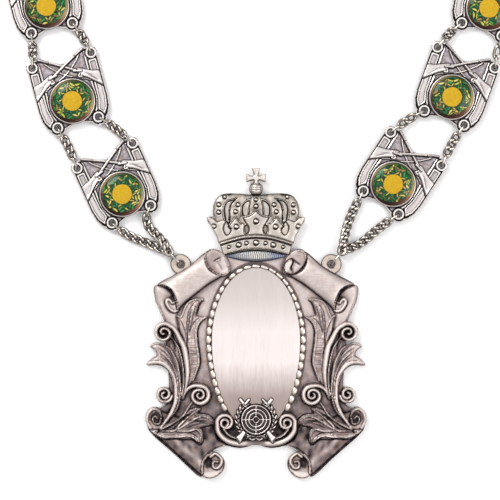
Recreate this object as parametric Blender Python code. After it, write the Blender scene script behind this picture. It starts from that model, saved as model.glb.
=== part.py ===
"""Shooting guild chain, lying flat: a cast pendant under a crown, three link plates a side, and curb chain.

The pendant's flat back lies on z = 0 with the origin under its middle, +Y towards the crown and +Z
towards the viewer. The plates rest on the wires of the jump rings that pass below them.
"""

import math

import bmesh
import bpy
from mathutils import Vector

MM = 0.001
CLEAR = 0.3 * MM  # kept between pieces that touch
SINK = 0.1 * MM  # overlap of metal that is soldered or cast together
LINK_SINK = 0.24 * MM  # overlap of two links' faceted wires, which makes a strand one solid

# Pendant
PENDANT_WIDTH = 88 * MM
PENDANT_HEIGHT = 91.6 * MM  # scroll tops to the lowest scroll, without the crown
GROUND = 2 * MM  # the cast ground that carries the relief
ROLL_RADIUS = 5.8 * MM
ROLL_RISE = 4.2 * MM  # of the upper rolls above the ground
LOW_ROLL_RISE = 3.0 * MM
VOLUTE_RADIUS = 4.0 * MM
VOLUTE_WIRE = 1.5 * MM
VOLUTE_RISE = 2.2 * MM
STEM_RISE = 1.1 * MM
LEAF_WIDTH = 4.6 * MM
LEAF_RISE = 1.9 * MM
LUG_RADIUS = 4.1 * MM
LUG_HOLE = 1.3 * MM
LUG_THICKNESS = 1.2 * MM

# Engraving oval and its border
OVAL_WIDTH = 0.402 * PENDANT_WIDTH
OVAL_TOP = 0.317 * PENDANT_HEIGHT  # from its widest line to the top
OVAL_BOTTOM = 0.393 * PENDANT_HEIGHT  # from its widest line to the bottom
OVAL_LINE = 0.0437 * PENDANT_HEIGHT  # height of the widest line above the origin
OVAL_THICKNESS = 0.9 * MM
BEAD_WIDTH = 1.9 * MM
BEAD_RISE = 1.7 * MM
BEAD_PITCH = 3.5 * MM
OVAL_SIDES = 26
BORDER_END = math.radians(47)  # how far the border runs below the widest line

# Crown
CROWN_WIDTH = 39.2 * MM
CROWN_HEIGHT = 34.6 * MM  # lower corners to the top of the cross
CROWN_THICKNESS = 1.6 * MM
CROWN_RISE = 1.2 * MM  # of the arches and fleurons above the dome
BAND_RISE = 1.6 * MM
PEARL_RADIUS = 0.95 * MM
LINING_RISE = 1.2 * MM
TONGUE_LAP = 5.0 * MM  # how far the tongue reaches under the crown's band
TONGUE_WIDTH = 22.4 * MM
LINING_DROP = 2.3 * MM  # of the lens below the crown's lower corners

# Emblem
TARGET_RADIUS = 5.9 * MM
EMBLEM_RISE = 2.0 * MM
WREATH_RADIUS = 7.3 * MM
WREATH_WIRE = 1.8 * MM
EMBLEM_RIFLE = 18.0 * MM
EMBLEM_RIFLE_ANGLE = math.radians(52)

# Link plates
PLATE_WIDTH = 28.8 * MM
PLATE_HEIGHT = 31.3 * MM
PLATE_THICKNESS = 1.2 * MM
TOP_LOBE = 2.5 * MM  # hole centre to the plate's edge
BOTTOM_LOBE = 3.2 * MM
PLATE_HOLE = 1.1 * MM
BEZEL_RADIUS = 9.1 * MM
BEZEL_WALL = 1.2 * MM
BEZEL_RISE = 1.5 * MM
BEZEL_SIDES = 12
RIFLE_RISE = 0.9 * MM
RIFLE_WIDTH = 1.3 * MM
BUTT_WIDTH = 3.6 * MM
ENAMEL_RISE = 0.9 * MM  # of the dome above the bezel

# Chain
LINK_WIRE = 1.0 * MM
LINK_PITCH = 3.4 * MM
LINK_WIDTH = 3.6 * MM
LINK_TWIST = math.radians(50)
RING_WIRE = 0.8 * MM
RING_HEIGHT = 4.0 * MM  # across the small jump rings, which stand on edge
LUG_RING_WIRE = 0.9 * MM
LUG_RING_HEIGHT = 7.7 * MM
LUG_RING_LENGTH = 8.3 * MM
PENDANT_STRAND = 21.5 * MM  # lug to the first plate
STRAND_GAP = 10.8 * MM  # between one plate and the next
BACK_CHAIN_DIAMETER = 3.6 * MM

CROWN_FOOT = OVAL_LINE + OVAL_TOP + BEAD_WIDTH + 2 * CLEAR + LINING_DROP
CROWN_BACK = GROUND + CLEAR
PLATE_BACK = RING_WIRE + CLEAR  # the plates rest on the rings' wires
LUG_BACK = LUG_RING_WIRE + 2 * CLEAR
LINK_REST = 0.29 * LINK_WIDTH + CLEAR  # middle line of a link that lies on the floor

# Tables

# One half of the pendant's ground, from the top middle outwards and down to the bottom middle.
# Columns: share of half the pendant's width, share of its height.
GROUND_OUTLINE = [
    (0.00, 0.410), (0.25, 0.405), (0.40, 0.390), (0.62, 0.300), (0.84, 0.235), (0.925, 0.272),
    (0.915, 0.200), (0.850, 0.120), (0.790, 0.075), (0.800, -0.070), (0.800, -0.150),
    (0.860, -0.252), (0.940, -0.262), (0.992, -0.294), (0.988, -0.333), (0.939, -0.370), (0.724, -0.460),
    (0.504, -0.553), (0.440, -0.560), (0.345, -0.551), (0.290, -0.490), (0.320, -0.455), (0.365, -0.442),
    (0.280, -0.417), (0.208, -0.424), (0.141, -0.426), (0.074, -0.421), (0.00, -0.408),
]

# Rolled scroll ends on one half. Columns: inner end x and y, outer end x and y as shares of half the
# width and of the height, and the roll's radius at each end as a share of ROLL_RADIUS.
UPPER_ROLL = ((0.375, 0.386), (0.790, 0.238), 0.97, 1.05)
LOW_ROLL = ((0.391, -0.493), (0.902, -0.292), 0.80, 0.92)

# Volutes on one half. Columns: centre x, centre y, radius as a share of VOLUTE_RADIUS, starting angle
# in degrees, hand (1 winds in anticlockwise), and the stem's points, the last of them on the volute.
VOLUTES = [
    (0.832, 0.079, 1.00, 140, -1, [(0.615, -0.140), (0.612, -0.060), (0.650, 0.025), (0.745, 0.098)]),
    (0.822, -0.193, 0.90, 140, -1, [(0.680, -0.060), (0.700, -0.130), (0.752, -0.168)]),
    (0.525, -0.193, 1.05, 20, 1, [(0.690, -0.290), (0.650, -0.235), (0.607, -0.187)]),
    (0.277, -0.322, 0.95, 0, 1, [(0.030, -0.417), (0.160, -0.412), (0.290, -0.385), (0.350, -0.328)]),
]
VOLUTE_TURNS = 1.0

# Acanthus leaves on one half. Columns: the midrib's points from base to tip, and half widths along it
# as shares of LEAF_WIDTH.
LEAVES = [
    ([(0.690, -0.200), (0.625, -0.050), (0.590, 0.060), (0.560, 0.150), (0.497, 0.225)],
     [0.3, 0.7, 1.0, 0.7, 0.1]),
    ([(0.620, 0.020), (0.680, 0.090), (0.745, 0.157)], [0.4, 0.55, 0.1]),
    ([(0.570, 0.030), (0.510, 0.095), (0.447, 0.138)], [0.4, 0.5, 0.1]),
    ([(0.865, -0.350), (0.745, -0.230), (0.715, -0.100), (0.800, -0.010), (0.955, 0.023)],
     [0.3, 0.6, 0.8, 0.7, 0.1]),
    ([(0.770, -0.055), (0.870, -0.045), (0.982, -0.064)], [0.4, 0.6, 0.1]),
    ([(0.850, -0.350), (0.700, -0.325), (0.560, -0.300), (0.390, -0.307)], [0.3, 0.6, 0.65, 0.1]),
    ([(0.660, -0.330), (0.580, -0.355), (0.495, -0.400)], [0.3, 0.55, 0.1]),
]

LUG_PLACE = (0.683, 0.3745)  # shares of half the width and of the height

# One half of the crown's outline from the bottom middle up to the orb's foot. Columns: share of half
# the crown's width, share of the crown's height from the lower corners.
CROWN_OUTLINE = [
    (0.00, 0.063), (0.33, 0.050), (0.63, 0.000), (0.745, 0.135), (0.83, 0.260), (1.00, 0.435),
    (0.90, 0.420), (0.87, 0.460), (0.88, 0.600), (0.78, 0.690), (0.60, 0.712), (0.07, 0.712),
]
CROWN_FLEURONS = [
    (0.00, 0.505), (0.09, 0.465), (0.25, 0.435), (0.17, 0.340), (0.20, 0.255), (0.28, 0.270), (0.32, 0.380),
    (0.42, 0.445), (0.54, 0.380), (0.53, 0.290), (0.62, 0.245), (0.70, 0.330), (0.72, 0.430),
    (0.87, 0.420), (1.00, 0.435), (0.83, 0.260), (0.72, 0.120), (0.36, 0.180), (0.00, 0.195),
]
CROWN_BAND = [
    (0.00, 0.200), (0.38, 0.182), (0.73, 0.120), (0.64, 0.010), (0.34, 0.053), (0.00, 0.066),
]
# Arches on one half. Columns: foot x, foot y, shoulder x, shoulder y, half width, all as shares.
CROWN_ARCHES = [
    (0.00, 0.470, 0.00, 0.690, 0.11), (0.45, 0.440, 0.40, 0.610, 0.10), (0.78, 0.440, 0.76, 0.610, 0.10),
]
ARCH_MEETING = (0.55, 0.700)  # where the arches meet the orb: share of the shoulder's x, and height
# Pearls on one half of the band and of the fleurons. Columns: share of half the width, share of the height.
BAND_PEARLS = [(0.0, 0.128), (0.22, 0.121), (0.45, 0.098), (0.63, 0.068)]
FLEURON_PEARLS = [(0.0, 0.390), (0.46, 0.322)]
PEARL_SIDES = 5
# One arm of the cross. Columns: share of its length, and of its length across.
CROSS_ARM = [(1.0, -0.40), (1.0, 0.40), (0.34, 0.24)]
CROSS_STALK = 0.16  # half width of the cross's foot, of an arm's length
CROSS_SIZE = 0.175  # of the crown's height
ORB_RADIUS = 0.052  # of the crown's height
DOME_TOP = 0.712  # of the crown's height

# Outline of one half of a link plate above its lower lobe. Columns: share of half the width, and share
# of the height from the centre of the setting.
PLATE_OUTLINE = [
    (0.00, 0.490), (0.68, 0.618), (0.88, 0.610), (1.00, 0.520),
    (1.00, 0.020), (0.90, -0.210), (0.72, -0.350), (0.54, -0.382), (0.38, -0.320),
]
TOP_HOLE = (0.845, 0.540)
BOTTOM_HOLE = (0.585, -0.279)
RIFLE_MUZZLE = (0.68, 0.610)
RIFLE_BUTT = (-0.93, 0.130)

# How the three plates of each side lie, from the pendant on. Columns: bearing from the last plate or lug
# in degrees from +Y, spacing as a share of its nominal length, lean in degrees (positive to the right).
PLATE_ROUTE = {
    "left": [(-39.8, 0.98, -24.4), (-28.2, 1.00, -15.0), (-15.3, 0.93, -14.0)],
    "right": [(37.6, 1.085, 33.2), (34.0, 0.995, 20.0), (22.6, 0.912, 18.0)],
}

# The chosen routes of the chains. The strands' middle points: share along the strand, and sideways
# offset as a share of its length. The back chain's points lie between the third plates, in millimetres.
STRAND_ROUTES = {
    "strand_left_outer": [(0.26, -0.06), (0.58, -0.04)],
    "strand_left_inner": [(0.21, -0.20), (0.48, -0.17), (0.70, -0.04)],
    "strand_right_outer": [(0.39, 0.02), (0.72, 0.06)],
    "strand_right_inner": [(0.40, -0.05), (0.70, -0.045)],
}
GAP_ROUTE = [(0.5, 0.03)]
BACK_ROUTES = {
    "back_chain_outer": [
        (-110, 185), (-116, 232), (-103, 283), (-70, 321), (0, 340),
        (70, 321), (104, 283), (118, 232), (117, 185),
    ],
    "back_chain_inner": [
        (-88, 188), (-94, 230), (-82, 272), (-56, 301), (0, 317),
        (56, 301), (83, 272), (96, 230), (95, 188),
    ],
}
BACK_POINTS = 24


# Small helpers

def material(name, colour, roughness, metallic):
    """A plain Principled material."""
    made = bpy.data.materials.new(name)
    made.use_nodes = True
    shader = made.node_tree.nodes["Principled BSDF"]
    shader.inputs["Base Color"].default_value = (*colour, 1)
    shader.inputs["Roughness"].default_value = roughness
    shader.inputs["Metallic"].default_value = metallic
    return made


def add_object(name, vertices, faces, finish):
    """A mesh object from vertices and faces, with its normals turned outwards."""
    mesh = bpy.data.meshes.new(name)
    mesh.from_pydata([tuple(v) for v in vertices], [], faces)
    work = bmesh.new()
    work.from_mesh(mesh)
    bmesh.ops.recalc_face_normals(work, faces=work.faces)
    work.to_mesh(mesh)
    work.free()
    mesh.shade_smooth()
    mesh.set_sharp_from_angle(angle=math.radians(40))
    mesh.materials.append(finish)
    made = bpy.data.objects.new(name, mesh)
    bpy.context.collection.objects.link(made)
    return made


def prism(points, low, high):
    """Vertices and faces of an outline extruded from low to high."""
    count = len(points)
    vertices = [(x, y, low) for x, y in points] + [(x, y, high) for x, y in points]
    faces = [tuple(range(count)), tuple(range(2 * count - 1, count - 1, -1))]
    faces += [(k, (k + 1) % count, (k + 1) % count + count, k + count) for k in range(count)]
    return vertices, faces


def mirrored(half):
    """A closed outline from one half: its mirror image is walked back to the start."""
    return half + [(-x, y) for x, y in reversed(half) if abs(x) > 1e-9]


def circle(centre, radius, sides, start=0.0):
    """Points of a regular polygon."""
    return [
        (centre[0] + radius * math.cos(start + math.tau * k / sides),
         centre[1] + radius * math.sin(start + math.tau * k / sides))
        for k in range(sides)
    ]


def annulus(centre, outer, inner, sides, low, high):
    """A flat ring with a round hole."""
    rings = [(outer, low), (outer, high), (inner, high), (inner, low)]
    vertices = [(x, y, z) for radius, z in rings for x, y in circle(centre, radius, sides)]
    faces = []
    for row in range(4):
        after = (row + 1) % 4
        for k in range(sides):
            n = (k + 1) % sides
            faces.append((row * sides + k, row * sides + n, after * sides + n, after * sides + k))
    return vertices, faces


def smooth_path(points, count):
    """count points along a Catmull-Rom curve through the points, evenly spaced along it."""
    rows = [Vector(p) for p in points]
    rows = [2 * rows[0] - rows[1]] + rows + [2 * rows[-1] - rows[-2]]
    fine = []
    for k in range(1, len(rows) - 2):
        a, b, c, d = rows[k - 1:k + 3]
        for step in range(16):
            t = step / 16
            fine.append(0.5 * (2 * b + (c - a) * t + (2 * a - 5 * b + 4 * c - d) * t * t
                               + (3 * b - 3 * c + d - a) * t * t * t))
    fine.append(rows[-2])
    reach = [0.0]
    for k in range(1, len(fine)):
        reach.append(reach[-1] + (fine[k] - fine[k - 1]).length)
    made = []
    k = 0
    for step in range(count):
        wanted = reach[-1] * step / (count - 1)
        while k < len(fine) - 2 and reach[k + 1] < wanted:
            k += 1
        share = (wanted - reach[k]) / max(reach[k + 1] - reach[k], 1e-12)
        made.append(fine[k].lerp(fine[k + 1], min(max(share, 0.0), 1.0)))
    return made


ROUNDED = ((-1.0, 0.0), (-0.55, 1.0), (0.55, 1.0), (1.0, 0.0))
KEELED = ((-1.0, 0.0), (0.0, 1.0), (1.0, 0.0))


def strip(path, half_widths, low, high, section=ROUNDED):
    """A raised ridge along a flat path. The section's columns are shares of the half width and height."""
    vertices = []
    count = len(path)
    wide = len(section)
    for k in range(count):
        here = Vector(path[k][:2])
        along = Vector(path[min(k + 1, count - 1)][:2]) - Vector(path[max(k - 1, 0)][:2])
        side = Vector((-along.y, along.x)).normalized()
        for share, level in section:
            at = here + side * half_widths[k] * share
            vertices.append((at.x, at.y, low + (high - low) * level))
    faces = [tuple(range(wide)), tuple(range(wide * count - 1, wide * (count - 1) - 1, -1))]
    for k in range(count - 1):
        for s in range(wide):
            n = (s + 1) % wide
            faces.append((wide * k + s, wide * k + n, wide * (k + 1) + n, wide * (k + 1) + s))
    return vertices, faces


def spiral(centre, outer, inner, turns, start, hand, count):
    """Points of a spiral that winds in from the outer to the inner radius."""
    made = []
    for k in range(count):
        share = k / (count - 1)
        angle = start + hand * math.tau * turns * share
        radius = outer + (inner - outer) * share
        made.append((centre[0] + radius * math.cos(angle), centre[1] + radius * math.sin(angle)))
    return made


def half_drum(start, end, radius_start, radius_end, rise, low, sides=7):
    """A roll lying on the ground: half an ellipse in section, with its flat side at low."""
    a, b = Vector(start), Vector(end)
    side = Vector((-(b - a).y, (b - a).x)).normalized()
    vertices = []
    for at, radius in ((a, radius_start), (b, radius_end)):
        for k in range(sides + 1):
            angle = math.pi * k / sides
            spot = at + side * radius * math.cos(angle)
            vertices.append((spot.x, spot.y, low + rise * math.sin(angle)))
    count = sides + 1
    faces = [tuple(range(count)), tuple(range(2 * count - 1, count - 1, -1))]
    faces += [(k, (k + 1) % count, (k + 1) % count + count, k + count) for k in range(count)]
    return vertices, faces


def pearl(centre, low):
    """A raised pearl as a low cone."""
    sides = PEARL_SIDES
    vertices = [(x, y, low) for x, y in circle(centre, PEARL_RADIUS, sides)]
    vertices.append((centre[0], centre[1], low + PEARL_RADIUS))
    faces = [tuple(range(sides))] + [(k, (k + 1) % sides, sides) for k in range(sides)]
    return vertices, faces


def shifted(part, count):
    """A part's faces with their numbers raised by count."""
    return [tuple(i + count for i in face) for face in part[1]]


def gathered(parts):
    """Several separate shells as one list of vertices and one of faces."""
    vertices, faces = [], []
    for part in parts:
        faces += shifted(part, len(vertices))
        vertices += part[0]
    return vertices, faces


def fused(name, first, others, finish):
    """One solid from parts that overlap: each of the others is joined on by an exact union."""
    made = add_object(name, *first, finish)
    for k, part in enumerate(others):
        tool = add_object(f"{name}_part_{k + 1}", *part, finish)
        tool.hide_render = True
        tool.display_type = "WIRE"
        join = made.modifiers.new(f"join_{k + 1}", "BOOLEAN")
        join.operation = "UNION"
        join.solver = "EXACT"
        join.object = tool
    return made


def cut(made, name, part, finish):
    """Cuts a part out of an object."""
    tool = add_object(name, *part, finish)
    tool.hide_render = True
    tool.display_type = "WIRE"
    removal = made.modifiers.new("holes", "BOOLEAN")
    removal.operation = "DIFFERENCE"
    removal.solver = "EXACT"
    removal.object = tool


def on_pendant(point, side=1):
    """A point of the pendant's tables in metres, on the right or left half."""
    return (side * point[0] * PENDANT_WIDTH / 2, point[1] * PENDANT_HEIGHT)


# Pendant

def pendant(finish):
    """The cast body: ground, rolls, volutes, leaves and lugs, with its flat back on z = 0."""
    outline = mirrored([on_pendant(p) for p in GROUND_OUTLINE])
    foot = GROUND_OUTLINE[0][1] * PENDANT_HEIGHT - TONGUE_LAP
    head = CROWN_FOOT + TONGUE_LAP
    half = TONGUE_WIDTH / 2
    tongue = [(-half, foot), (half, foot), (half, head), (-half, head)]
    parts = [prism(tongue, GROUND * 0.1, GROUND * 0.9)]
    for side in (-1, 1):
        for roll, rise in ((UPPER_ROLL, ROLL_RISE), (LOW_ROLL, LOW_ROLL_RISE)):
            start, end = on_pendant(roll[0], side), on_pendant(roll[1], side)
            parts.append(half_drum(start, end, roll[2] * ROLL_RADIUS, roll[3] * ROLL_RADIUS,
                                   GROUND * 0.75 + rise, GROUND * 0.25))
        for number, (x, y, size, angle, hand, stem) in enumerate(VOLUTES):
            centre = on_pendant((x, y), side)
            start = math.radians(angle if side > 0 else 180 - angle)
            outer = size * VOLUTE_RADIUS
            low = GROUND * (0.14 + 0.04 * number)
            coil = spiral(centre, outer - VOLUTE_WIRE / 2, outer * 0.22, VOLUTE_TURNS, start, hand * side, 7)
            widths = [VOLUTE_WIRE / 2 * share for share in (1, 1, 1, 0.95, 0.85, 0.75, 0.6)]
            parts.append(strip(coil, widths, low, GROUND + VOLUTE_RISE))
            path = [on_pendant(p, side) for p in stem]
            parts.append(strip(path, [VOLUTE_WIRE / 2] * len(path), low + 0.02 * GROUND, GROUND + STEM_RISE))
            floor = circle(centre, outer * 0.93, 7)
            parts.append(prism(floor, low - 0.02 * GROUND, GROUND + 0.3 * VOLUTE_RISE))
        for number, (points, widths) in enumerate(LEAVES):
            path = [on_pendant(p, side) for p in points]
            low = GROUND * (0.30 + 0.03 * number)
            parts.append(strip(path, [w * LEAF_WIDTH for w in widths], low, GROUND + LEAF_RISE, KEELED))
        lug = on_pendant(LUG_PLACE, side)
        parts.append(annulus(lug, LUG_RADIUS, LUG_HOLE, 10, LUG_BACK, LUG_BACK + LUG_THICKNESS))
    return fused("pendant_body", prism(outline, 0, GROUND), parts, finish)


def oval_point(angle, grow=0.0):
    """A point of the egg-shaped oval, at angle from its widest line, set out by grow."""
    long = OVAL_TOP if math.sin(angle) > 0 else OVAL_BOTTOM
    return ((OVAL_WIDTH / 2 + grow) * math.cos(angle), OVAL_LINE + (long + grow) * math.sin(angle))


def engraving_plate(finish):
    """The flat oval on the pendant's ground."""
    outline = [oval_point(math.tau * k / OVAL_SIDES) for k in range(OVAL_SIDES)]
    low = GROUND + CLEAR
    return add_object("engraving_plate", *prism(outline, low, low + OVAL_THICKNESS), finish)


def bead_border(finish):
    """The beaded frame: a strip round the oval whose width swells once a bead."""
    grow = CLEAR + BEAD_WIDTH / 2
    fine = [Vector(oval_point(-BORDER_END + (math.pi + 2 * BORDER_END) * k / 200, grow)) for k in range(201)]
    beads = max(8, round(path_length(fine) / BEAD_PITCH))
    path = smooth_path([tuple(p) for p in fine[::5]], 2 * beads + 1)
    low = GROUND + CLEAR
    vertices = []
    for k, here in enumerate(path):
        along = path[min(k + 1, 2 * beads)] - path[max(k - 1, 0)]
        side = Vector((-along.y, along.x)).normalized()
        full = 1.0 if k % 2 else 0.55
        for across, level in KEELED:
            at = here + side * across * full * BEAD_WIDTH / 2
            vertices.append((at.x, at.y, low + BEAD_RISE * full * level))
    faces = [(0, 1, 2), tuple(range(len(vertices) - 1, len(vertices) - 4, -1))]
    for k in range(len(path) - 1):
        for s in range(3):
            n = (s + 1) % 3
            faces.append((3 * k + s, 3 * k + n, 3 * k + 3 + n, 3 * k + 3 + s))
    return add_object("bead_border", vertices, faces, finish)


def target_emblem(finish):
    """The ring target on two crossed rifles inside a wreath, standing on the oval's lower end."""
    centre = (0.0, OVAL_LINE - OVAL_BOTTOM + TARGET_RADIUS * 0.7)
    low = GROUND + OVAL_THICKNESS + 2 * CLEAR
    high = low + EMBLEM_RISE
    parts = []
    for side in (-1, 1):
        way = Vector((side * math.cos(EMBLEM_RIFLE_ANGLE), math.sin(EMBLEM_RIFLE_ANGLE)))
        path = [tuple(Vector(centre) + way * EMBLEM_RIFLE * share) for share in (-0.58, -0.34, 0.60)]
        widths = [EMBLEM_RIFLE * share for share in (0.083, 0.036, 0.026)]
        crest = high - (0.30 + 0.03 * side) * EMBLEM_RISE
        parts.append(strip(path, widths, low + (0.10 + 0.02 * side) * EMBLEM_RISE, crest, KEELED))
        arc = [(centre[0] + side * WREATH_RADIUS * math.cos(math.radians(angle)),
                centre[1] + WREATH_RADIUS * math.sin(math.radians(angle))) for angle in range(-78, 51, 32)]
        widths = [WREATH_WIRE * share for share in (0.45, 0.5, 0.5, 0.5, 0.1)]
        foot = low + (0.05 + 0.01 * side) * EMBLEM_RISE
        parts.append(strip(arc, widths, foot, high - 0.45 * EMBLEM_RISE, KEELED))
    inner = high - 0.1 * EMBLEM_RISE
    parts.append(annulus(centre, TARGET_RADIUS, TARGET_RADIUS * 0.8, 10, low + 0.50 * EMBLEM_RISE, high))
    parts.append(prism(circle(centre, TARGET_RADIUS * 0.45, 8), low + 0.45 * EMBLEM_RISE, inner))
    base = prism(circle(centre, TARGET_RADIUS * 0.92, 10), low, low + 0.6 * EMBLEM_RISE)
    return fused("target_emblem", base, parts, finish)


# Crown

def on_crown(point, side=1):
    """A point of the crown's tables in metres."""
    return (side * point[0] * CROWN_WIDTH / 2, CROWN_FOOT + point[1] * CROWN_HEIGHT)


def crown(finish):
    """Dome, arches, fleurons, band, pearls, orb and cross in one casting."""
    top = CROWN_BACK + CROWN_THICKNESS
    base = prism(mirrored([on_crown(p) for p in CROWN_OUTLINE]), CROWN_BACK, top)
    fleurons = mirrored([on_crown(p) for p in CROWN_FLEURONS])
    band = mirrored([on_crown(p) for p in CROWN_BAND])
    parts = []
    for foot_x, foot_y, x, y, wide in CROWN_ARCHES:
        for side in ((1,) if x == 0 else (-1, 1)):
            path = [on_crown((foot_x, foot_y - 0.06), side), on_crown((foot_x, foot_y + 0.06), side),
                    on_crown((x, y), side), on_crown((x * ARCH_MEETING[0], ARCH_MEETING[1]), side)]
            widths = [wide * CROWN_WIDTH / 2 * s for s in (0.9, 0.9, 1.0, 0.6)]
            parts.append(strip(path, widths, top - 0.5 * CROWN_THICKNESS, top + CROWN_RISE * 0.7))
    parts.append(prism(fleurons, CROWN_BACK + 0.1 * CROWN_THICKNESS, top + CROWN_RISE))
    parts.append(prism(band, CROWN_BACK + 0.2 * CROWN_THICKNESS, top + BAND_RISE))
    for table, rise in ((BAND_PEARLS, BAND_RISE), (FLEURON_PEARLS, CROWN_RISE)):
        for x, y in table:
            for side in ((1,) if x == 0 else (-1, 1)):
                parts.append(pearl(on_crown((x, y), side), top + rise - SINK))
    orb = (0.0, CROWN_FOOT + (DOME_TOP + ORB_RADIUS * 0.75) * CROWN_HEIGHT)
    orb_radius = ORB_RADIUS * CROWN_HEIGHT
    low = CROWN_BACK + 0.1 * CROWN_THICKNESS
    parts.append(prism(circle(orb, orb_radius, 10), low, top + CROWN_RISE * 0.8))
    arm = CROSS_SIZE * CROWN_HEIGHT / 2
    middle = CROWN_FOOT + CROWN_HEIGHT - arm
    cross = []
    for quarter in range(4):
        turn = quarter * math.pi / 2
        cos, sin = math.cos(turn), math.sin(turn)
        for along, across in CROSS_ARM:
            x, y = along * arm, across * arm
            cross.append((x * cos - y * sin, middle + x * sin + y * cos))
    parts.append(prism(cross, CROWN_BACK + 0.15 * CROWN_THICKNESS, top + CROWN_RISE * 0.4))
    half = CROSS_STALK * arm
    stalk = [(-half, orb[1]), (half, orb[1]), (half, middle), (-half, middle)]
    parts.append(prism(stalk, CROWN_BACK + 0.3 * CROWN_THICKNESS, top + CROWN_RISE * 0.2))
    return fused("crown", base, parts, finish)


def crown_lining(finish):
    """The fluted lens below the band: an arc above and below, raised towards the middle."""
    half = CROWN_WIDTH * 0.33
    level = CROWN_FOOT - CLEAR
    count = 10
    vertices = []
    low = GROUND + CLEAR
    for k in range(count + 1):
        share = 2 * k / count - 1
        x = half * share
        bow = 1 - share * share
        flute = 0.85 if k % 2 else 1.0
        top_edge = level + 0.055 * CROWN_HEIGHT * bow
        foot_edge = level - (LINING_DROP - CLEAR) * (0.1 + 0.9 * bow)
        rise = LINING_RISE * (0.35 + 0.65 * bow) * flute
        vertices += [(x, foot_edge, low), (x, foot_edge, low + rise * 0.6)]
        vertices += [(x, top_edge, low + rise), (x, top_edge, low)]
    faces = [(0, 1, 2, 3), tuple(range(len(vertices) - 1, len(vertices) - 5, -1))]
    for k in range(count):
        for s in range(4):
            n = (s + 1) % 4
            faces.append((4 * k + s, 4 * k + n, 4 * k + 4 + n, 4 * k + 4 + s))
    return add_object("crown_lining", vertices, faces, finish)


# Link plates

def plate_frame(centre, lean):
    """Turns a plate's own point into a point of the model. Lean is positive to the right."""
    angle = -math.radians(lean)

    def place(x, y):
        return (centre[0] + x * math.cos(angle) - y * math.sin(angle),
                centre[1] + x * math.sin(angle) + y * math.cos(angle))
    return place


def plate_point(point, side=1):
    """A point of the plate's tables in metres."""
    return (side * point[0] * PLATE_WIDTH / 2, point[1] * PLATE_HEIGHT)


def link_plate(name, place, finish):
    """A plate with four holes, a round setting and two crossed rifles."""
    top = PLATE_BACK + PLATE_THICKNESS
    base = prism([place(*p) for p in mirrored([plate_point(p) for p in PLATE_OUTLINE])], PLATE_BACK, top)
    bezel = annulus(place(0, 0), BEZEL_RADIUS, BEZEL_RADIUS - BEZEL_WALL, BEZEL_SIDES,
                    PLATE_BACK + 0.5 * PLATE_THICKNESS, top + BEZEL_RISE)
    parts = []
    for side, lift in ((-1, 0.0), (1, 0.12)):
        muzzle, butt = Vector(plate_point(RIFLE_MUZZLE, side)), Vector(plate_point(RIFLE_BUTT, side))
        along = muzzle - butt
        across = Vector((-along.y, along.x)).normalized()
        stock, barrel = BUTT_WIDTH / 2, RIFLE_WIDTH / 2
        outline = [butt + along * share + across * wide for share, wide in (
            (0.0, -stock), (0.30, -stock * 0.72), (0.38, -barrel), (0.98, -barrel),
            (0.98, barrel), (0.30, barrel), (0.0, stock))]
        parts.append(prism([place(*p) for p in outline], PLATE_BACK + 0.4 * PLATE_THICKNESS,
                           top + RIFLE_RISE * (1 + lift)))
    parts.append(bezel)
    plate = fused(name, base, parts, finish)
    low, high = PLATE_BACK - PLATE_THICKNESS, top + PLATE_THICKNESS
    holes = [prism(circle(place(*plate_point(hole, side)), PLATE_HOLE, 6), low, high)
             for hole in (TOP_HOLE, BOTTOM_HOLE) for side in (-1, 1)]
    cut(plate, f"{name}_holes", gathered(holes), finish)
    return plate


def enamel_disc(name, place, finish):
    """A domed disc in the setting."""
    low = PLATE_BACK + PLATE_THICKNESS + CLEAR
    edge = BEZEL_RADIUS - BEZEL_WALL - CLEAR
    sides = BEZEL_SIDES
    rings = [(1.0, 0.0), (1.0, 0.45), (0.62, 1.0)]
    rise = BEZEL_RISE + ENAMEL_RISE - CLEAR
    vertices = [(x, y, low + rise * level) for share, level in rings
                for x, y in circle(place(0, 0), edge * share, sides)]
    faces = [tuple(range(sides)), tuple(range(3 * sides - 1, 2 * sides - 1, -1))]
    for row in range(2):
        for k in range(sides):
            n = (k + 1) % sides
            faces.append((row * sides + k, row * sides + n, row * sides + sides + n, row * sides + sides + k))
    return add_object(name, vertices, faces, finish)


# Chain

def swept(centres, sideways, wire, sides=5):
    """A closed loop of round wire. sideways holds one unit vector across the wire for each centre."""
    count = len(centres)
    vertices = []
    for k in range(count):
        along = (centres[(k + 1) % count] - centres[k - 1]).normalized()
        across = (sideways[k] - along * sideways[k].dot(along)).normalized()
        other = along.cross(across)
        for s in range(sides):
            angle = math.tau * s / sides
            vertices.append(centres[k] + (across * math.cos(angle) + other * math.sin(angle)) * wire / 2)
    faces = []
    for k in range(count):
        after = (k + 1) % count
        for s in range(sides):
            n = (s + 1) % sides
            faces.append((k * sides + s, after * sides + s, after * sides + n, k * sides + n))
    return [tuple(v) for v in vertices], faces


def curb_link(start, end, hooked=False, sides=10):
    """A curb link whose wire's middle line runs from start to end, twisted along its length.

    A hooked link isn't twisted in its end half, where a ring's wire stands upright in it.
    """
    middle = (start + end) / 2
    half = (end - start).length / 2
    along = (end - start).normalized()
    across = Vector((0, 0, 1)).cross(along).normalized()
    up = along.cross(across)
    wide = (LINK_WIDTH - LINK_WIRE) / 2
    centres, sideways = [], []
    for k in range(sides):
        angle = math.tau * (k + 0.5) / sides
        cos, sin = math.cos(angle), math.sin(angle)
        x = half * math.copysign(abs(cos) ** 0.8, cos) / math.cos(math.pi / sides) ** 0.8
        y = wide * math.copysign(abs(sin) ** 0.8, sin)
        turn = LINK_TWIST * max(-1.0, min(0.0 if hooked else 1.0, x / half))
        flat = across * math.cos(turn) + up * math.sin(turn)
        centres.append(middle + along * x + flat * y)
        sideways.append((up * math.cos(turn) - across * math.sin(turn)).normalized())
    return swept(centres, sideways, LINK_WIRE)


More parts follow.
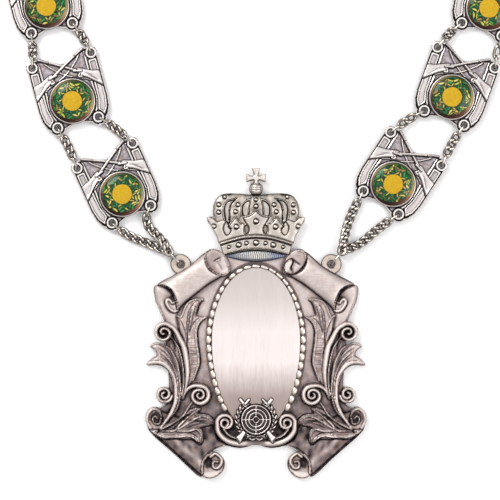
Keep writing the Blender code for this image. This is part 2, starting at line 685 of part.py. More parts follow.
def ring_half(height, wire, level):
    """Half the width of an upright ring's round end at a level above the floor."""
    tall = (height - wire) / 2
    rise = level - height / 2
    return math.sqrt(max(tall * tall - rise * rise, 0.0))


def upright_ring(hole, direction, length, height, wire, level, sides=10):
    """A jump ring standing on edge: its wire passes through the hole at level, and out along direction."""
    along = Vector((direction[0], direction[1], 0)).normalized()
    up = Vector((0, 0, 1))
    across = along.cross(up)
    tall = (height - wire) / 2
    straight = (length - height) / 2
    middle = Vector((hole[0], hole[1], height / 2)) + along * (straight + ring_half(height, wire, level))
    centres = []
    for k in range(sides):
        angle = math.tau * (k + 0.5) / sides
        x = tall * math.cos(angle) + math.copysign(straight, math.cos(angle))
        centres.append(middle + along * x + up * tall * math.sin(angle))
    return swept(centres, [across] * sides, wire)


def small_ring(hole, direction):
    """The jump ring in a plate's hole."""
    level = PLATE_BACK + PLATE_THICKNESS / 2
    return upright_ring(hole, direction, ring_length(), RING_HEIGHT, RING_WIRE, level)


def ring_length():
    """The small jump rings reach past the widest lobe and leave room for a link's wire."""
    return max(TOP_LOBE, BOTTOM_LOBE) + 1.5 * RING_WIRE + LINK_WIRE + CLEAR


def lug_ring_reach(level):
    """How far from the lug's hole the outer end of its ring runs, at a level above the floor."""
    hole_side = ring_half(LUG_RING_HEIGHT, LUG_RING_WIRE, LUG_BACK + LUG_THICKNESS / 2)
    return LUG_RING_LENGTH - LUG_RING_HEIGHT + hole_side + ring_half(LUG_RING_HEIGHT, LUG_RING_WIRE, level)


def path_length(path):
    """The length of a line through points."""
    return sum((path[k + 1] - path[k]).length for k in range(len(path) - 1))


def strand_route(start, end, middle_points, past=0.0):
    """Many points of the strand's middle line, seen from above. It runs past its end by past."""
    a, b = Vector(start), Vector(end)
    side = Vector((-(b - a).y, (b - a).x))
    points = [a] + [a + (b - a) * along + side * off for along, off in middle_points] + [b]
    if past:
        points.append(b + (b - points[-2]).normalized() * past)
    return smooth_path([tuple(p) for p in points], 121)


def at_distance(route, distance):
    """The point of the route at a distance along it. The route's points are evenly spaced."""
    share = min(max(distance / path_length(route), 0.0), 1.0) * (len(route) - 1)
    k = min(int(share), len(route) - 2)
    return route[k].lerp(route[k + 1], share - k)


def strand(name, start, end, middle_points, finish, hook_height=None):
    """Curb chain from a hole to another hole, each with its jump ring.

    With a hook_height, the strand has no ring of its own at its end: its last link goes round the wire
    of a lug's large ring, which stands at the end point, at that height.
    """
    hooked = hook_height is not None
    past = (LUG_RING_WIRE + LINK_WIRE) / 2 + CLEAR if hooked else 0.0
    route = strand_route(start, end, middle_points, past)
    total = path_length(route)
    reach = ring_length() - RING_WIRE
    first = reach - (RING_WIRE + LINK_WIRE) / 2 + LINK_SINK
    span = total - first - (0.0 if hooked else first)
    links = max(1, round((span - LINK_WIRE + LINK_SINK) / LINK_PITCH))
    pitch = (span - LINK_WIRE + LINK_SINK) / links
    near_z = RING_HEIGHT / 2
    low_z = LINK_REST
    end_z = hook_height if hooked else near_z

    def spot(distance):
        # A link stays level where it holds a ring, and the chain comes down to the floor from there.
        from_start = (distance - first) / LINK_PITCH - 1.0
        from_end = (total - distance - (0.0 if hooked else first)) / LINK_PITCH - 1.4
        start_share = min(max(1 - from_start / 2.0, 0.0), 1.0)
        end_share = min(max(1 - from_end / 2.4, 0.0), 1.0)
        height = low_z + max((near_z - low_z) * start_share, (end_z - low_z) * end_share)
        at = at_distance(route, distance)
        return Vector((at.x, at.y, height))

    parts = [small_ring(start, at_distance(route, reach) - Vector(start))]
    for k in range(links):
        head = first + k * pitch
        tail = head + pitch + LINK_WIRE - LINK_SINK
        parts.append(curb_link(spot(head), spot(tail), hooked and k == links - 1))
    if not hooked:
        back = at_distance(route, total - reach) - Vector(end)
        parts.append(small_ring(end, back))
    return fused(name, gathered(parts[0::2]), [gathered(parts[1::2])], finish)


def back_chain(name, start, end, middle_points, finish):
    """The hidden stretch round the neck as a plain tube on a smooth route."""
    height = BACK_CHAIN_DIAMETER / 2
    points = [start] + [(x * MM, y * MM) for x, y in middle_points] + [end]
    curve = bpy.data.curves.new(name, "CURVE")
    curve.dimensions = "3D"
    curve.bevel_depth = BACK_CHAIN_DIAMETER / 2
    curve.bevel_resolution = 2
    curve.use_fill_caps = True
    spline = curve.splines.new("POLY")
    route = smooth_path(points, BACK_POINTS)
    spline.points.add(len(route) - 1)
    for point, at in zip(spline.points, route):
        point.co = (at.x, at.y, height, 1)
    curve.materials.append(finish)
    made = bpy.data.objects.new(name, curve)
    bpy.context.collection.objects.link(made)
    return made


def build():
    """Builds every piece."""
    for existing in list(bpy.data.objects):
        bpy.data.objects.remove(existing)

    old_silver = material("old_silver", (0.50, 0.45, 0.42), 0.38, 1.0)
    satin_silver = material("satin_silver", (0.66, 0.60, 0.57), 0.45, 1.0)
    bright_silver = material("bright_silver", (0.62, 0.65, 0.72), 0.25, 1.0)
    chain_silver = material("chain_silver", (0.42, 0.39, 0.36), 0.30, 1.0)
    enamel = material("enamel", (0.05, 0.32, 0.08), 0.08, 0.0)

    pendant(old_silver)
    engraving_plate(satin_silver)
    bead_border(old_silver)
    target_emblem(old_silver)
    crown(old_silver)
    crown_lining(bright_silver)

    last_places = {}
    for word, route in PLATE_ROUTE.items():
        side = -1 if word == "left" else 1
        lug = Vector(on_pendant(LUG_PLACE, side))
        centre = lug
        places = []
        for bearing, share, lean in route:
            nominal = PLATE_HEIGHT + STRAND_GAP if places else PENDANT_STRAND + PLATE_HEIGHT / 2
            angle = math.radians(bearing)
            centre = centre + Vector((math.sin(angle), math.cos(angle))) * nominal * share
            places.append(plate_frame(centre, lean))
            link_plate(f"link_plate_{word}_{len(places)}", places[-1], old_silver)
            enamel_disc(f"enamel_{word}_{len(places)}", places[-1], enamel)
        last_places[word] = places[-1]

        def hole(number, which, outer):
            return places[number - 1](*plate_point(which, side if outer else -side))

        # The large ring leans out along the middle of its two strands.
        feet = [Vector(hole(1, BOTTOM_HOLE, outer)) for outer in (True, False)]
        way = ((feet[0] - lug).normalized() + (feet[1] - lug).normalized()).normalized()
        level = LUG_BACK + LUG_THICKNESS / 2
        part = upright_ring(lug, way, LUG_RING_LENGTH, LUG_RING_HEIGHT, LUG_RING_WIRE, level)
        add_object(f"lug_ring_{word}", *part, chain_silver)
        low_z = LUG_RING_WIRE + 1.3 * LINK_WIRE + CLEAR
        high_z = LUG_RING_HEIGHT - low_z
        for outer, height in ((True, low_z), (False, high_z)):
            name = f"strand_{word}_{'outer' if outer else 'inner'}"
            end = lug + way * lug_ring_reach(height)
            strand(name, hole(1, BOTTOM_HOLE, outer), tuple(end), STRAND_ROUTES[name], chain_silver, height)
        for number in range(1, len(places)):
            for outer in (True, False):
                name = f"strand_{word}_{number}{number + 1}_{'outer' if outer else 'inner'}"
                strand(name, hole(number, TOP_HOLE, outer), hole(number + 1, BOTTOM_HOLE, outer),
                       [(along, off * side) for along, off in GAP_ROUTE], chain_silver)

    for outer in (True, False):
        word = "outer" if outer else "inner"
        route = BACK_ROUTES[f"back_chain_{word}"]
        ends = []
        for where, side, toward in (("left", -1, 0), ("right", 1, -1)):
            at = Vector(last_places[where](*plate_point(TOP_HOLE, side if outer else -side)))
            way = (Vector(route[toward]) * MM - at).normalized()
            add_object(f"back_ring_{where}_{word}", *small_ring(at, way), chain_silver)
            ends.append(at + way * (ring_length() - RING_WIRE / 2 + CLEAR))
        back_chain(f"back_chain_{word}", tuple(ends[0]), tuple(ends[1]), route, chain_silver)


build()
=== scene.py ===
"""Looks for the shooting guild chain: cast relief, enamel, curb links, light and camera.

Lengths here are in millimetres, in the frame of the CAD parts. Meshes are written in metres.
"""

import math

import bmesh
import bpy
import numpy as np
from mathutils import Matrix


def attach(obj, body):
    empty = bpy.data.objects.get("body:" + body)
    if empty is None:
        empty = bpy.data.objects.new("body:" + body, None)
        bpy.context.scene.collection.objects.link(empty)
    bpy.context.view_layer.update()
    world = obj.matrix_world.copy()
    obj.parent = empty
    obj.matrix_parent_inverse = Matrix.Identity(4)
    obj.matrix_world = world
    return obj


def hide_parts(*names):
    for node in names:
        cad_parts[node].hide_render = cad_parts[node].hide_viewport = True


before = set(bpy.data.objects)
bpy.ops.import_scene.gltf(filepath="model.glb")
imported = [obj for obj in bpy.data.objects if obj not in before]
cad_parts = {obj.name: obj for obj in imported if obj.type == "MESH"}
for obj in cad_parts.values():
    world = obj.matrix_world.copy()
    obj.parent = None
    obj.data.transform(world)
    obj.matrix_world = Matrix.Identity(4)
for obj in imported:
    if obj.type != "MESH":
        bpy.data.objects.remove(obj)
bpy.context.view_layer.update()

MM = 0.001
CAMERA_PLACE = (-0.0024, 0.040, 1.0)
CAMERA_LENS = 180

camera_data = bpy.data.cameras.new("camera")
camera_data.sensor_width = 36
camera_data.lens = CAMERA_LENS
camera_data.clip_start = 0.05
camera_data.clip_end = 20
camera = bpy.data.objects.new("camera", camera_data)
bpy.context.scene.collection.objects.link(camera)
camera.location = CAMERA_PLACE
bpy.context.scene.camera = camera


# Lines and surfaces

def smooth(points, step=0.3, closed=False):
    """Rows evenly spaced along a Catmull-Rom curve through rows of numbers.

    Between rows b and c, with a before and d after, the curve is
    (2b + (c-a)t + (2a-5b+4c-d)t^2 + (3b-3c+d-a)t^3) / 2.
    """
    rows = np.asarray(points, float)
    if closed:
        rows = np.vstack([rows[-1:], rows, rows[:2]])
    else:
        rows = np.vstack([2 * rows[:1] - rows[1:2], rows, 2 * rows[-1:] - rows[-2:-1]])
    a, b, c, d = (rows[k:len(rows) - 3 + k, None] for k in range(4))
    t = np.linspace(0, 1, 16, endpoint=False)[None, :, None]
    square, cube = 2 * a - 5 * b + 4 * c - d, 3 * b - 3 * c + d - a
    fine = 0.5 * (2 * b + (c - a) * t + square * t ** 2 + cube * t ** 3)
    return evenly(np.vstack([fine.reshape(-1, rows.shape[1]), rows[-2:-1]]), step)


def evenly(line, step):
    """A line's rows taken again at even steps along it."""
    gaps = np.linalg.norm(np.diff(line, axis=0), axis=1)
    reach = np.concatenate([[0], np.cumsum(gaps)])
    count = max(2, int(round(reach[-1] / step)) + 1)
    wanted = np.linspace(0, reach[-1], count)
    return np.stack([np.interp(wanted, reach, column) for column in line.T], axis=1)


def length_of(line):
    """The length of a line through rows."""
    return np.linalg.norm(np.diff(line, axis=0), axis=1).sum()


def rows_at(line, index):
    """A line's rows at places between its own row numbers."""
    return np.stack([np.interp(index, np.arange(len(line)), column) for column in line.T], axis=-1)


def unit(rows):
    """Rows scaled to a length of one."""
    return rows / np.linalg.norm(rows, axis=-1, keepdims=True)


def nearest(x, y, line):
    """The distance to a line, and the share of the line at which its nearest spot lies."""
    best = np.full(x.shape, 1e9)
    share = np.zeros(x.shape)
    count = len(line) - 1
    for k in range(count):
        (px, py), (vx, vy) = line[k, :2], line[k + 1, :2] - line[k, :2]
        t = np.clip(((x - px) * vx + (y - py) * vy) / max(vx * vx + vy * vy, 1e-12), 0, 1)
        gap = (x - px - t * vx) ** 2 + (y - py - t * vy) ** 2
        closer = gap < best
        best = np.where(closer, gap, best)
        share = np.where(closer, (k + t) / count, share)
    return np.sqrt(best), share


def depth_inside(x, y, outline):
    """The distance to a closed outline, positive inside it and negative outside."""
    line = np.vstack([outline, outline[:1]])
    gap, _ = nearest(x, y, line)
    crossed = np.zeros(x.shape, bool)
    for (px, py), (qx, qy) in zip(line[:-1], line[1:]):
        if py != qy:
            spans = (py > y) != (qy > y)
            crossed ^= spans & (x < (qx - px) * (y - py) / (qy - py) + px)
    return np.where(crossed, gap, -gap)


def blurred(field, rows, columns=None):
    """A field averaged three times over boxes of 2 rows + 1 by 2 columns + 1 cells."""
    made = field.copy()
    for axis, cells in ((0, rows), (1, rows if columns is None else columns)):
        for _ in range(3 if cells else 0):
            pad = [(0, 0), (0, 0)]
            pad[axis] = (cells + 1, cells)
            total = np.cumsum(np.pad(made, pad, mode="edge"), axis=axis)
            ahead = np.take(total, np.arange(2 * cells + 1, total.shape[axis]), axis=axis)
            behind = np.take(total, np.arange(0, total.shape[axis] - 2 * cells - 1), axis=axis)
            made = (ahead - behind) / (2 * cells + 1)
    return made


def streaked(shape, rows, columns, seed):
    """Random streaks of spread 1, drawn out over some rows and columns."""
    made = blurred(np.random.default_rng(seed).normal(size=shape), rows, columns)
    return made / made.std()


def painted_shade_below(gap):
    """The weight of painted shade on the side of a shape that faces down the picture: from 0.2 above
    the shape to 1 below it, where gap is the distance from the shape.
    """
    rise, run = np.gradient(gap)
    return np.clip(0.55 - 0.45 * rise / np.maximum(np.hypot(rise, run), 1e-6), 0.2, 1.0)


def bell(distance, width):
    """exp(-(distance / width)^2)."""
    return np.exp(-(distance / width) ** 2)


def clipped(value):
    """A value held between 0 and 1."""
    return np.clip(value, 0, 1)


def without_openings(kept):
    """Kept cells together with every cell that they shut in."""
    outside = np.pad(np.zeros(kept.shape, bool), 1, constant_values=True)
    free = np.pad(~kept, 1, constant_values=True)
    while True:
        grown = outside.copy()
        grown[1:] |= outside[:-1]
        grown[:-1] |= outside[1:]
        grown[:, 1:] |= outside[:, :-1]
        grown[:, :-1] |= outside[:, 1:]
        grown &= free
        if (grown == outside).all():
            return ~outside[1:-1, 1:-1]
        outside = grown


def grid_faces(rows, columns, close_rows=False, close_columns=False):
    """Quads of a grid of rows by columns, whose last row or column may join the first."""
    j = np.arange(rows if close_rows else rows - 1)[:, None]
    i = np.arange(columns if close_columns else columns - 1)[None, :]
    after_j, after_i = (j + 1) % rows, (i + 1) % columns
    corners = [j * columns + i, j * columns + after_i, after_j * columns + after_i, after_j * columns + i]
    return np.stack([np.broadcast_to(c, (len(j), i.shape[1])) for c in corners], axis=-1).reshape(-1, 4)


def joined(shells):
    """Several shells of (vertices, list of face arrays) as one."""
    vertices, faces, count = [], [], 0
    for points, blocks in shells:
        vertices.append(points)
        faces += [block + count for block in blocks]
        count += len(points)
    return np.vstack(vertices), faces


def placed(points, place):
    """Points carried by a function of their flat coordinates."""
    return np.column_stack([*place(points[:, 0], points[:, 1]), points[:, 2]])


def piece(name, vertices, faces, material, node, values, sharp=60, fill_back=None):
    """A mesh from points in millimetres and arrays of faces, which stands for a CAD node.

    values maps an attribute's name to one number per vertex. The open back is filled as one sheet, or
    as a sheet with round holes.
    """
    mesh = bpy.data.meshes.new(name)
    mesh.vertices.add(len(vertices))
    mesh.vertices.foreach_set("co", (np.asarray(vertices, float) * MM).ravel())
    sizes = np.concatenate([np.full(len(block), block.shape[1]) for block in faces])
    corners = np.concatenate([block.ravel() for block in faces])
    mesh.loops.add(len(corners))
    mesh.loops.foreach_set("vertex_index", corners.astype(np.int32))
    mesh.polygons.add(len(sizes))
    mesh.polygons.foreach_set("loop_start", (np.cumsum(sizes) - sizes).astype(np.int32))
    mesh.update(calc_edges=True)
    for key, data in values.items():
        mesh.attributes.new(key, "FLOAT", "POINT").data.foreach_set("value", np.asarray(data, float))
    if fill_back:
        work = bmesh.new()
        work.from_mesh(mesh)
        if fill_back == "round holes":
            bmesh.ops.triangle_fill(work, edges=[edge for edge in work.edges if edge.is_boundary])
            bmesh.ops.recalc_face_normals(work, faces=work.faces)
        else:
            bmesh.ops.holes_fill(work, edges=work.edges, sides=0)
        work.to_mesh(mesh)
        work.free()
    mesh.shade_smooth()
    mesh.set_sharp_from_angle(angle=math.radians(sharp))
    mesh.materials.append(material)
    made = bpy.data.objects.new(name, mesh)
    bpy.context.scene.collection.objects.link(made)
    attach(made, "root")
    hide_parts(node)


def lathe(profile, sides, centre=(0, 0)):
    """A surface turned round an upright axis: rows of (radius, height), closed at a radius of zero.

    The point at angle a is centre + radius (cos a, sin a).
    """
    profile = np.asarray(profile, float)
    angle = np.arange(sides) * math.tau / sides
    solid = profile[profile[:, 0] > 0]
    x = centre[0] + solid[:, :1] * np.cos(angle)
    y = centre[1] + solid[:, :1] * np.sin(angle)
    points = np.stack([x, y, np.broadcast_to(solid[:, 1:2], x.shape)], axis=-1).reshape(-1, 3)
    rows = len(solid)
    closed = profile[0, 0] > 0 and profile[-1, 0] > 0
    faces = [grid_faces(rows, sides, close_rows=closed, close_columns=True)]
    ring = np.arange(sides)
    after = np.roll(ring, -1)
    for end, first, turn in ((0, 0, (after, ring)), (-1, (rows - 1) * sides, (ring, after))):
        if profile[end, 0] == 0:
            points = np.vstack([points, [[centre[0], centre[1], profile[end, 1]]]])
            pole = np.full(sides, len(points) - 1)
            faces.append(np.stack([first + turn[0], first + turn[1], pole], axis=1))
    return points, faces


def tubes(centres, sideways, radius, sides):
    """Closed loops of round wire: centres and unit vectors across the wire, as (loops, points, 3).

    The point at angle a round the wire is centre + radius (across cos a + other sin a).
    """
    loops, count = centres.shape[:2]
    along = unit(np.roll(centres, -1, axis=1) - np.roll(centres, 1, axis=1))
    across = unit(sideways - along * (sideways * along).sum(-1, keepdims=True))
    other = np.cross(along, across)
    angle = np.arange(sides) * math.tau / sides
    ring = across[:, :, None] * np.cos(angle)[:, None] + other[:, :, None] * np.sin(angle)[:, None]
    points = centres[:, :, None] + radius * ring
    one = grid_faces(count, sides, close_rows=True, close_columns=True)[:, ::-1]
    faces = (one[None] + np.arange(loops)[:, None, None] * count * sides).reshape(-1, 4)
    return points.reshape(-1, 3), [faces]


# Cast relief

class Relief:
    """Heights z and a value p of patina and painted shade on a grid, with the depth inside the casting's
    outline.

    The value runs from 0 for bright metal to 1 for a black hollow. Besides the patina in the hollows,
    it carries painted shade and some painted light. A box is left, foot, right and top.
    """

    def __init__(self, box, step, level, paint, line=0.3):
        self.step, self.line = step, line
        self.x, self.y = np.meshgrid(np.arange(box[0], box[2] + step / 2, step),
                                     np.arange(box[1], box[3] + step / 2, step))
        self.z = np.full(self.x.shape, float(level))
        self.p = np.full(self.x.shape, float(paint))
        self.body = np.full(self.x.shape, -1e3)

    def window(self, points, reach):
        """The part of the grid within reach of some points."""
        low, high = points[:, :2].min(0) - reach, points[:, :2].max(0) + reach
        i = np.searchsorted(self.x[0], (low[0], high[0]))
        j = np.searchsorted(self.y[:, 0], (low[1], high[1]))
        return slice(j[0], j[1]), slice(i[0], i[1])

    def depth(self, shape, reach):
        """The part of the grid near a closed line of points, and the depth inside the line there."""
        where = self.window(shape, reach)
        return where, depth_inside(self.x[where], self.y[where], shape)

    def away(self, x, y):
        """The distance from a spot."""
        return np.hypot(self.x - x, self.y - y)

    def grow(self, outline, curved=True):
        """Adds an outline to the casting."""
        shape = smooth(outline, 0.4, closed=True) if curved else np.asarray(outline, float)
        where, gap = self.depth(shape, 3)
        self.body[where] = np.maximum(self.body[where], gap)

    def halo(self, gap, below):
        """The strength of the dark line beside an edge, at a distance from the edge: patina in the recess,
        made darker by painted shade where the edge faces down the picture.
        """
        return bell(gap, self.line * (0.5 + below)) * (0.3 + 0.7 * below)

    def ridge(self, points, width, crest, foot, paint=0.12, moat=0.5, grows=False):
        """A rounded ridge: foot + (crest - foot) sqrt(1 - (d/w)^2) at distance d from its middle line.

        width and crest may be lists of values spread along the line. A dark moat of patina runs round its
        edge; painted shade darkens the moat and the ridge's flanks where they face down the picture.
        Without a foot, the crest is a height above the surface that is there. A foot below zero is a
        depth below the crest.
        """
        line = smooth(points, 0.35)
        widths, crests = np.atleast_1d(width).astype(float), np.atleast_1d(crest).astype(float)
        where = self.window(line, widths.max() + 1.5)
        d, share = nearest(self.x[where], self.y[where], line)
        w = np.interp(share, np.linspace(0, 1, len(widths)), widths)
        top = np.interp(share, np.linspace(0, 1, len(crests)), crests)
        below = painted_shade_below(d)
        near = self.halo(np.maximum(d - w, 0), below)
        z, p = self.z[where], self.p[where]
        if foot is None:
            foot = z
            top = z + top
        elif foot < 0:
            foot = top + foot
        dark = min(1, moat * 3)
        rise = foot + (top - foot) * np.sqrt(1 - clipped(d / w) ** 2)
        # painted shade: the ridge's flanks darken where they face down the picture
        side = paint + (0.8 - paint) * clipped(d / w) ** 6 * below * dark
        self.z[where] = np.where(d < w, rise, z - moat * near)
        self.p[where] = np.where(d < w, side, np.maximum(p, near * dark))
        if grows:
            self.body[where] = np.maximum(self.body[where], w - d)

    def panel(self, outline, level, foot, bevel=0.8, dome=0.0, dome_reach=3.0, paint=0.35, moat=0.4,
              grows=False):
        """A raised sheet whose edge rises over the bevel and whose middle swells by the dome.

        Without a foot, the level is a height above the surface that is there.
        """
        where, d = self.depth(smooth(outline, 0.4, closed=True), 1.5)
        s, m = clipped(d / bevel), clipped(d / dome_reach)
        below = painted_shade_below(-d)
        near = self.halo(np.minimum(d, 0), below)
        z, p = self.z[where], self.p[where]
        if foot is None:
            foot = z
            level = z + level
        rise = foot + (level - foot) * s * (2 - s) + dome * m * (2 - m)
        # painted shade: the bevel and the moat darken where the edge faces down the picture
        inner = paint + (0.75 - paint) * (1 - s) * min(1, moat * 2) * below
        self.z[where] = np.where(d > 0, rise, z - moat * near)
        self.p[where] = np.where(d > 0, inner, np.maximum(p, near * min(1, moat * 3)))
        if grows:
            self.body[where] = np.maximum(self.body[where], d)

    def groove(self, points, width=0.32, depth=0.35, paint=0.95, tapered=True):
        """An engraved line: depth exp(-(d/width)^2), fading towards its ends."""
        line = smooth(points, 0.35)
        where = self.window(line, 3 * width)
        d, share = nearest(self.x[where], self.y[where], line)
        fall = bell(d, width)
        if tapered:
            fall *= clipped(4 * np.minimum(share, 1 - share)) ** 0.5
        self.z[where] -= depth * fall
        self.p[where] += (paint - self.p[where]) * fall

    def drum(self, axis, radii, rise, foot, outline, paint):
        """A roll: foot + rise sqrt(1 - (d/R)^3) at distance d from its axis, inside an outline."""
        where, gap = self.depth(smooth(outline, 0.4, closed=True), 1.5)
        x, y = self.x[where], self.y[where]
        a, b = np.asarray(axis, float)
        run = b - a
        share = ((x - a[0]) * run[0] + (y - a[1]) * run[1]) / (run @ run)
        d = np.abs((x - a[0]) * run[1] - (y - a[1]) * run[0]) / np.linalg.norm(run)
        radius = radii[0] + (radii[1] - radii[0]) * share
        near = bell(np.minimum(gap, 0), 0.4)
        surface = foot + rise * np.sqrt(np.clip(1 - (d / radius) ** 3, 0.02, 1))
        edge = paint + 0.5 * clipped(1 - gap / 0.7)
        self.z[where] = np.where(gap > 0, surface, self.z[where] - 0.5 * near)
        self.p[where] = np.where(gap > 0, edge, np.maximum(self.p[where], 0.9 * near))
        self.body[where] = np.maximum(self.body[where], gap)

    def coil(self, centre, radii, widths, crest, start, turns, stem=(), grows=False, hollow_shade=0.97):
        """A volute over a hollow painted dark with patina and painted shade: a stem, then a spiral whose
        radius runs through the radii.

        turns is positive for a coil that winds in anticlockwise.
        """
        share = np.linspace(0, 1, 20)
        angle = math.radians(start) + turns * math.tau * share
        radius = np.interp(share, np.linspace(0, 1, len(radii)), radii)
        spiral = np.stack([centre[0] + radius * np.cos(angle), centre[1] + radius * np.sin(angle)], axis=-1)
        gap = self.away(*centre)
        hollow = gap < radii[0]
        # the hollow is lowered and painted dark, with patina and painted shade
        self.z = np.where(hollow, BASE - 0.2, self.z)
        self.p = np.where(hollow, hollow_shade, self.p)
        if grows:
            self.body = np.maximum(self.body, radii[0] - gap)
        line = np.vstack([np.asarray(stem, float).reshape(-1, 2), spiral])
        self.ridge(line, widths, crest, -1.2, 0.04, 0.8, grows=grows)

    def painted_rim_shade(self, width, drop, side=0.45):
        """Lowers the casting's edge and darkens it with painted shade, most where it faces down the picture.
        """
        edge = clipped(1 - self.body / width) * clipped((painted_shade_below(-self.body) - 0.2) / 0.8 + side)
        self.p = np.maximum(self.p, 0.97 * edge)
        self.z = self.z - drop * edge

    def shade(self, outline, paint, soft=1.0):
        """Sets the value of patina and painted shade inside an outline, with a soft edge."""
        where, d = self.depth(smooth(outline, 0.5, closed=True), 0.5)
        self.p[where] += (paint - self.p[where]) * clipped(d / soft)

    def tint(self, outline, margin, change, step=0.6):
        """Adds a change over the grid to the patina, where an outline is deeper than a margin."""
        where, d = self.depth(smooth(outline, step, closed=True), 0.5)
        self.p[where] += np.where(d > margin, change[where], 0)

    def patina_and_shade(self, reach, gain):
        """The value of patina and painted shade, and how far each spot lies below its surroundings."""
        low = blurred(self.z, max(1, int(round(reach / self.step)))) - self.z
        return clipped(self.p + gain * low)

    def mirrored(self):
        """The field and its mirror image in x = 0 as one."""
        whole = Relief.__new__(Relief)
        whole.step, whole.line = self.step, self.line
        for key, sign in (("x", -1), ("y", 1), ("z", 1), ("p", 1), ("body", 1)):
            half = getattr(self, key)
            setattr(whole, key, np.hstack([sign * half[:, :0:-1], half]))
        return whole

    def mesh(self, back, reach, gain, back_grid=False, place=None, solid=False):
        """A closed casting: the heights above, walls down from the outline and a flat back.

        The back is a copy of the grid, or else left open at the walls' feet. The third value is the
        patina and painted shade of each vertex.
        """
        patina_and_shade = self.patina_and_shade(reach, gain)
        body = self.body
        kept = (body[:-1, :-1] + body[1:, :-1] + body[:-1, 1:] + body[1:, 1:]) > 0
        if solid:
            kept = without_openings(kept)
        number = np.arange(body.size).reshape(body.shape)
        top = np.stack([number[:-1, :-1], number[:-1, 1:], number[1:, 1:], number[1:, :-1]], axis=-1)
        ring = np.pad(kept, 1)
        beside = (ring[:-2, 1:-1], ring[1:-1, 2:], ring[2:, 1:-1], ring[1:-1, :-2])
        edges = np.concatenate([top[kept & ~other][:, [k, (k + 1) % 4]] for k, other in enumerate(beside)])
        slope_y, slope_x = np.gradient(body, self.step)
        steep = np.maximum(slope_x ** 2 + slope_y ** 2, 0.3)
        rim = np.zeros(body.shape, bool)
        rim.ravel()[edges] = True
        pull = np.clip(-body / steep, -0.75 * self.step, 0.75 * self.step) * rim
        points = np.stack([self.x + pull * slope_x, self.y + pull * slope_y, self.z], axis=-1).reshape(-1, 3)
        low = points.copy()
        low[:, 2] = back
        under = edges + body.size
        walls = np.stack([edges[:, 1], edges[:, 0], under[:, 0], under[:, 1]], axis=1)
        faces = np.vstack([top[kept], walls] + ([top[kept][:, ::-1] + body.size] if back_grid else []))
        used = np.unique(faces)
        renumber = np.zeros(2 * body.size, int)
        renumber[used] = np.arange(len(used))
        points = np.vstack([points, low])[used]
        value = np.concatenate([patina_and_shade.ravel(), np.full(body.size, 0.5)])[used]
        return placed(points, place) if place else points, [renumber[faces]], value


# Materials

def link(tree, made, sockets):
    """Joins sockets or sets plain values by socket name or number."""
    for key, source in sockets.items():
        target = made.inputs[key]
        if isinstance(source, bpy.types.NodeSocket):
            tree.links.new(source, target)
        else:
            target.default_value = source
    return made


def node(tree, kind, sockets=None, **settings):
    """One shader node with its settings and sockets."""
    made = tree.nodes.new(kind)
    for key, value in settings.items():
        setattr(made, key, value)
    return link(tree, made, sockets or {})


def maths(tree, operation, first, second=0.0, clamp=False):
    """A Math node's output."""
    made = node(tree, "ShaderNodeMath", {0: first, 1: second}, operation=operation, use_clamp=clamp)
    return made.outputs[0]


def spread(tree, value, low, high, start=0.0, end=1.0):
    """A value's place between low and high, as a number from start to end."""
    return node(tree, "ShaderNodeMapRange", {0: value, 1: low, 2: high, 3: start, 4: end}).outputs[0]


def mixed(tree, share, first, second, blend="MIX"):
    """A colour between two colours."""
    made = node(tree, "ShaderNodeMix", data_type="RGBA", blend_type=blend)
    return link(tree, made, {0: share, 6: first, 7: second}).outputs[2]


def grey(tree, value):
    """A colour with one value in all three channels."""
    return node(tree, "ShaderNodeCombineColor", {0: value, 1: value, 2: value}).outputs[0]


def ramp(tree, value, *stops):
    """A colour ramp's output. stops are rows of place, red, green and blue."""
    made = node(tree, "ShaderNodeValToRGB", {0: value})
    elements = made.color_ramp.elements
    while len(elements) < len(stops):
        elements.new(0.5)
    for element, (place, *colour) in zip(elements, stops):
        element.position = place
        element.color = (*colour, 1)
    return made.outputs[0]


def group(name, inputs, outputs):
    """An empty node group with its input and output nodes."""
    tree = bpy.data.node_groups.new(name, "ShaderNodeTree")
    for direction, sockets in (("INPUT", inputs), ("OUTPUT", outputs)):
        for key, kind, *start in sockets:
            made = tree.interface.new_socket(name=key, in_out=direction, socket_type="NodeSocket" + kind)
            if start:
                made.default_value = start[0]
    return tree, tree.nodes.new("NodeGroupInput").outputs, tree.nodes.new("NodeGroupOutput")


def coordinates(tree):
    """The object's own coordinates, in metres."""
    return node(tree, "ShaderNodeTexCoord").outputs["Object"]


def noise(tree, scale, detail=3.0, rough=0.5, vector=None):
    """Noise over the object's own coordinates, in cells per metre."""
    sockets = {"Vector": vector or coordinates(tree), "Scale": scale, "Detail": detail, "Roughness": rough}
    return node(tree, "ShaderNodeTexNoise", sockets).outputs[0]


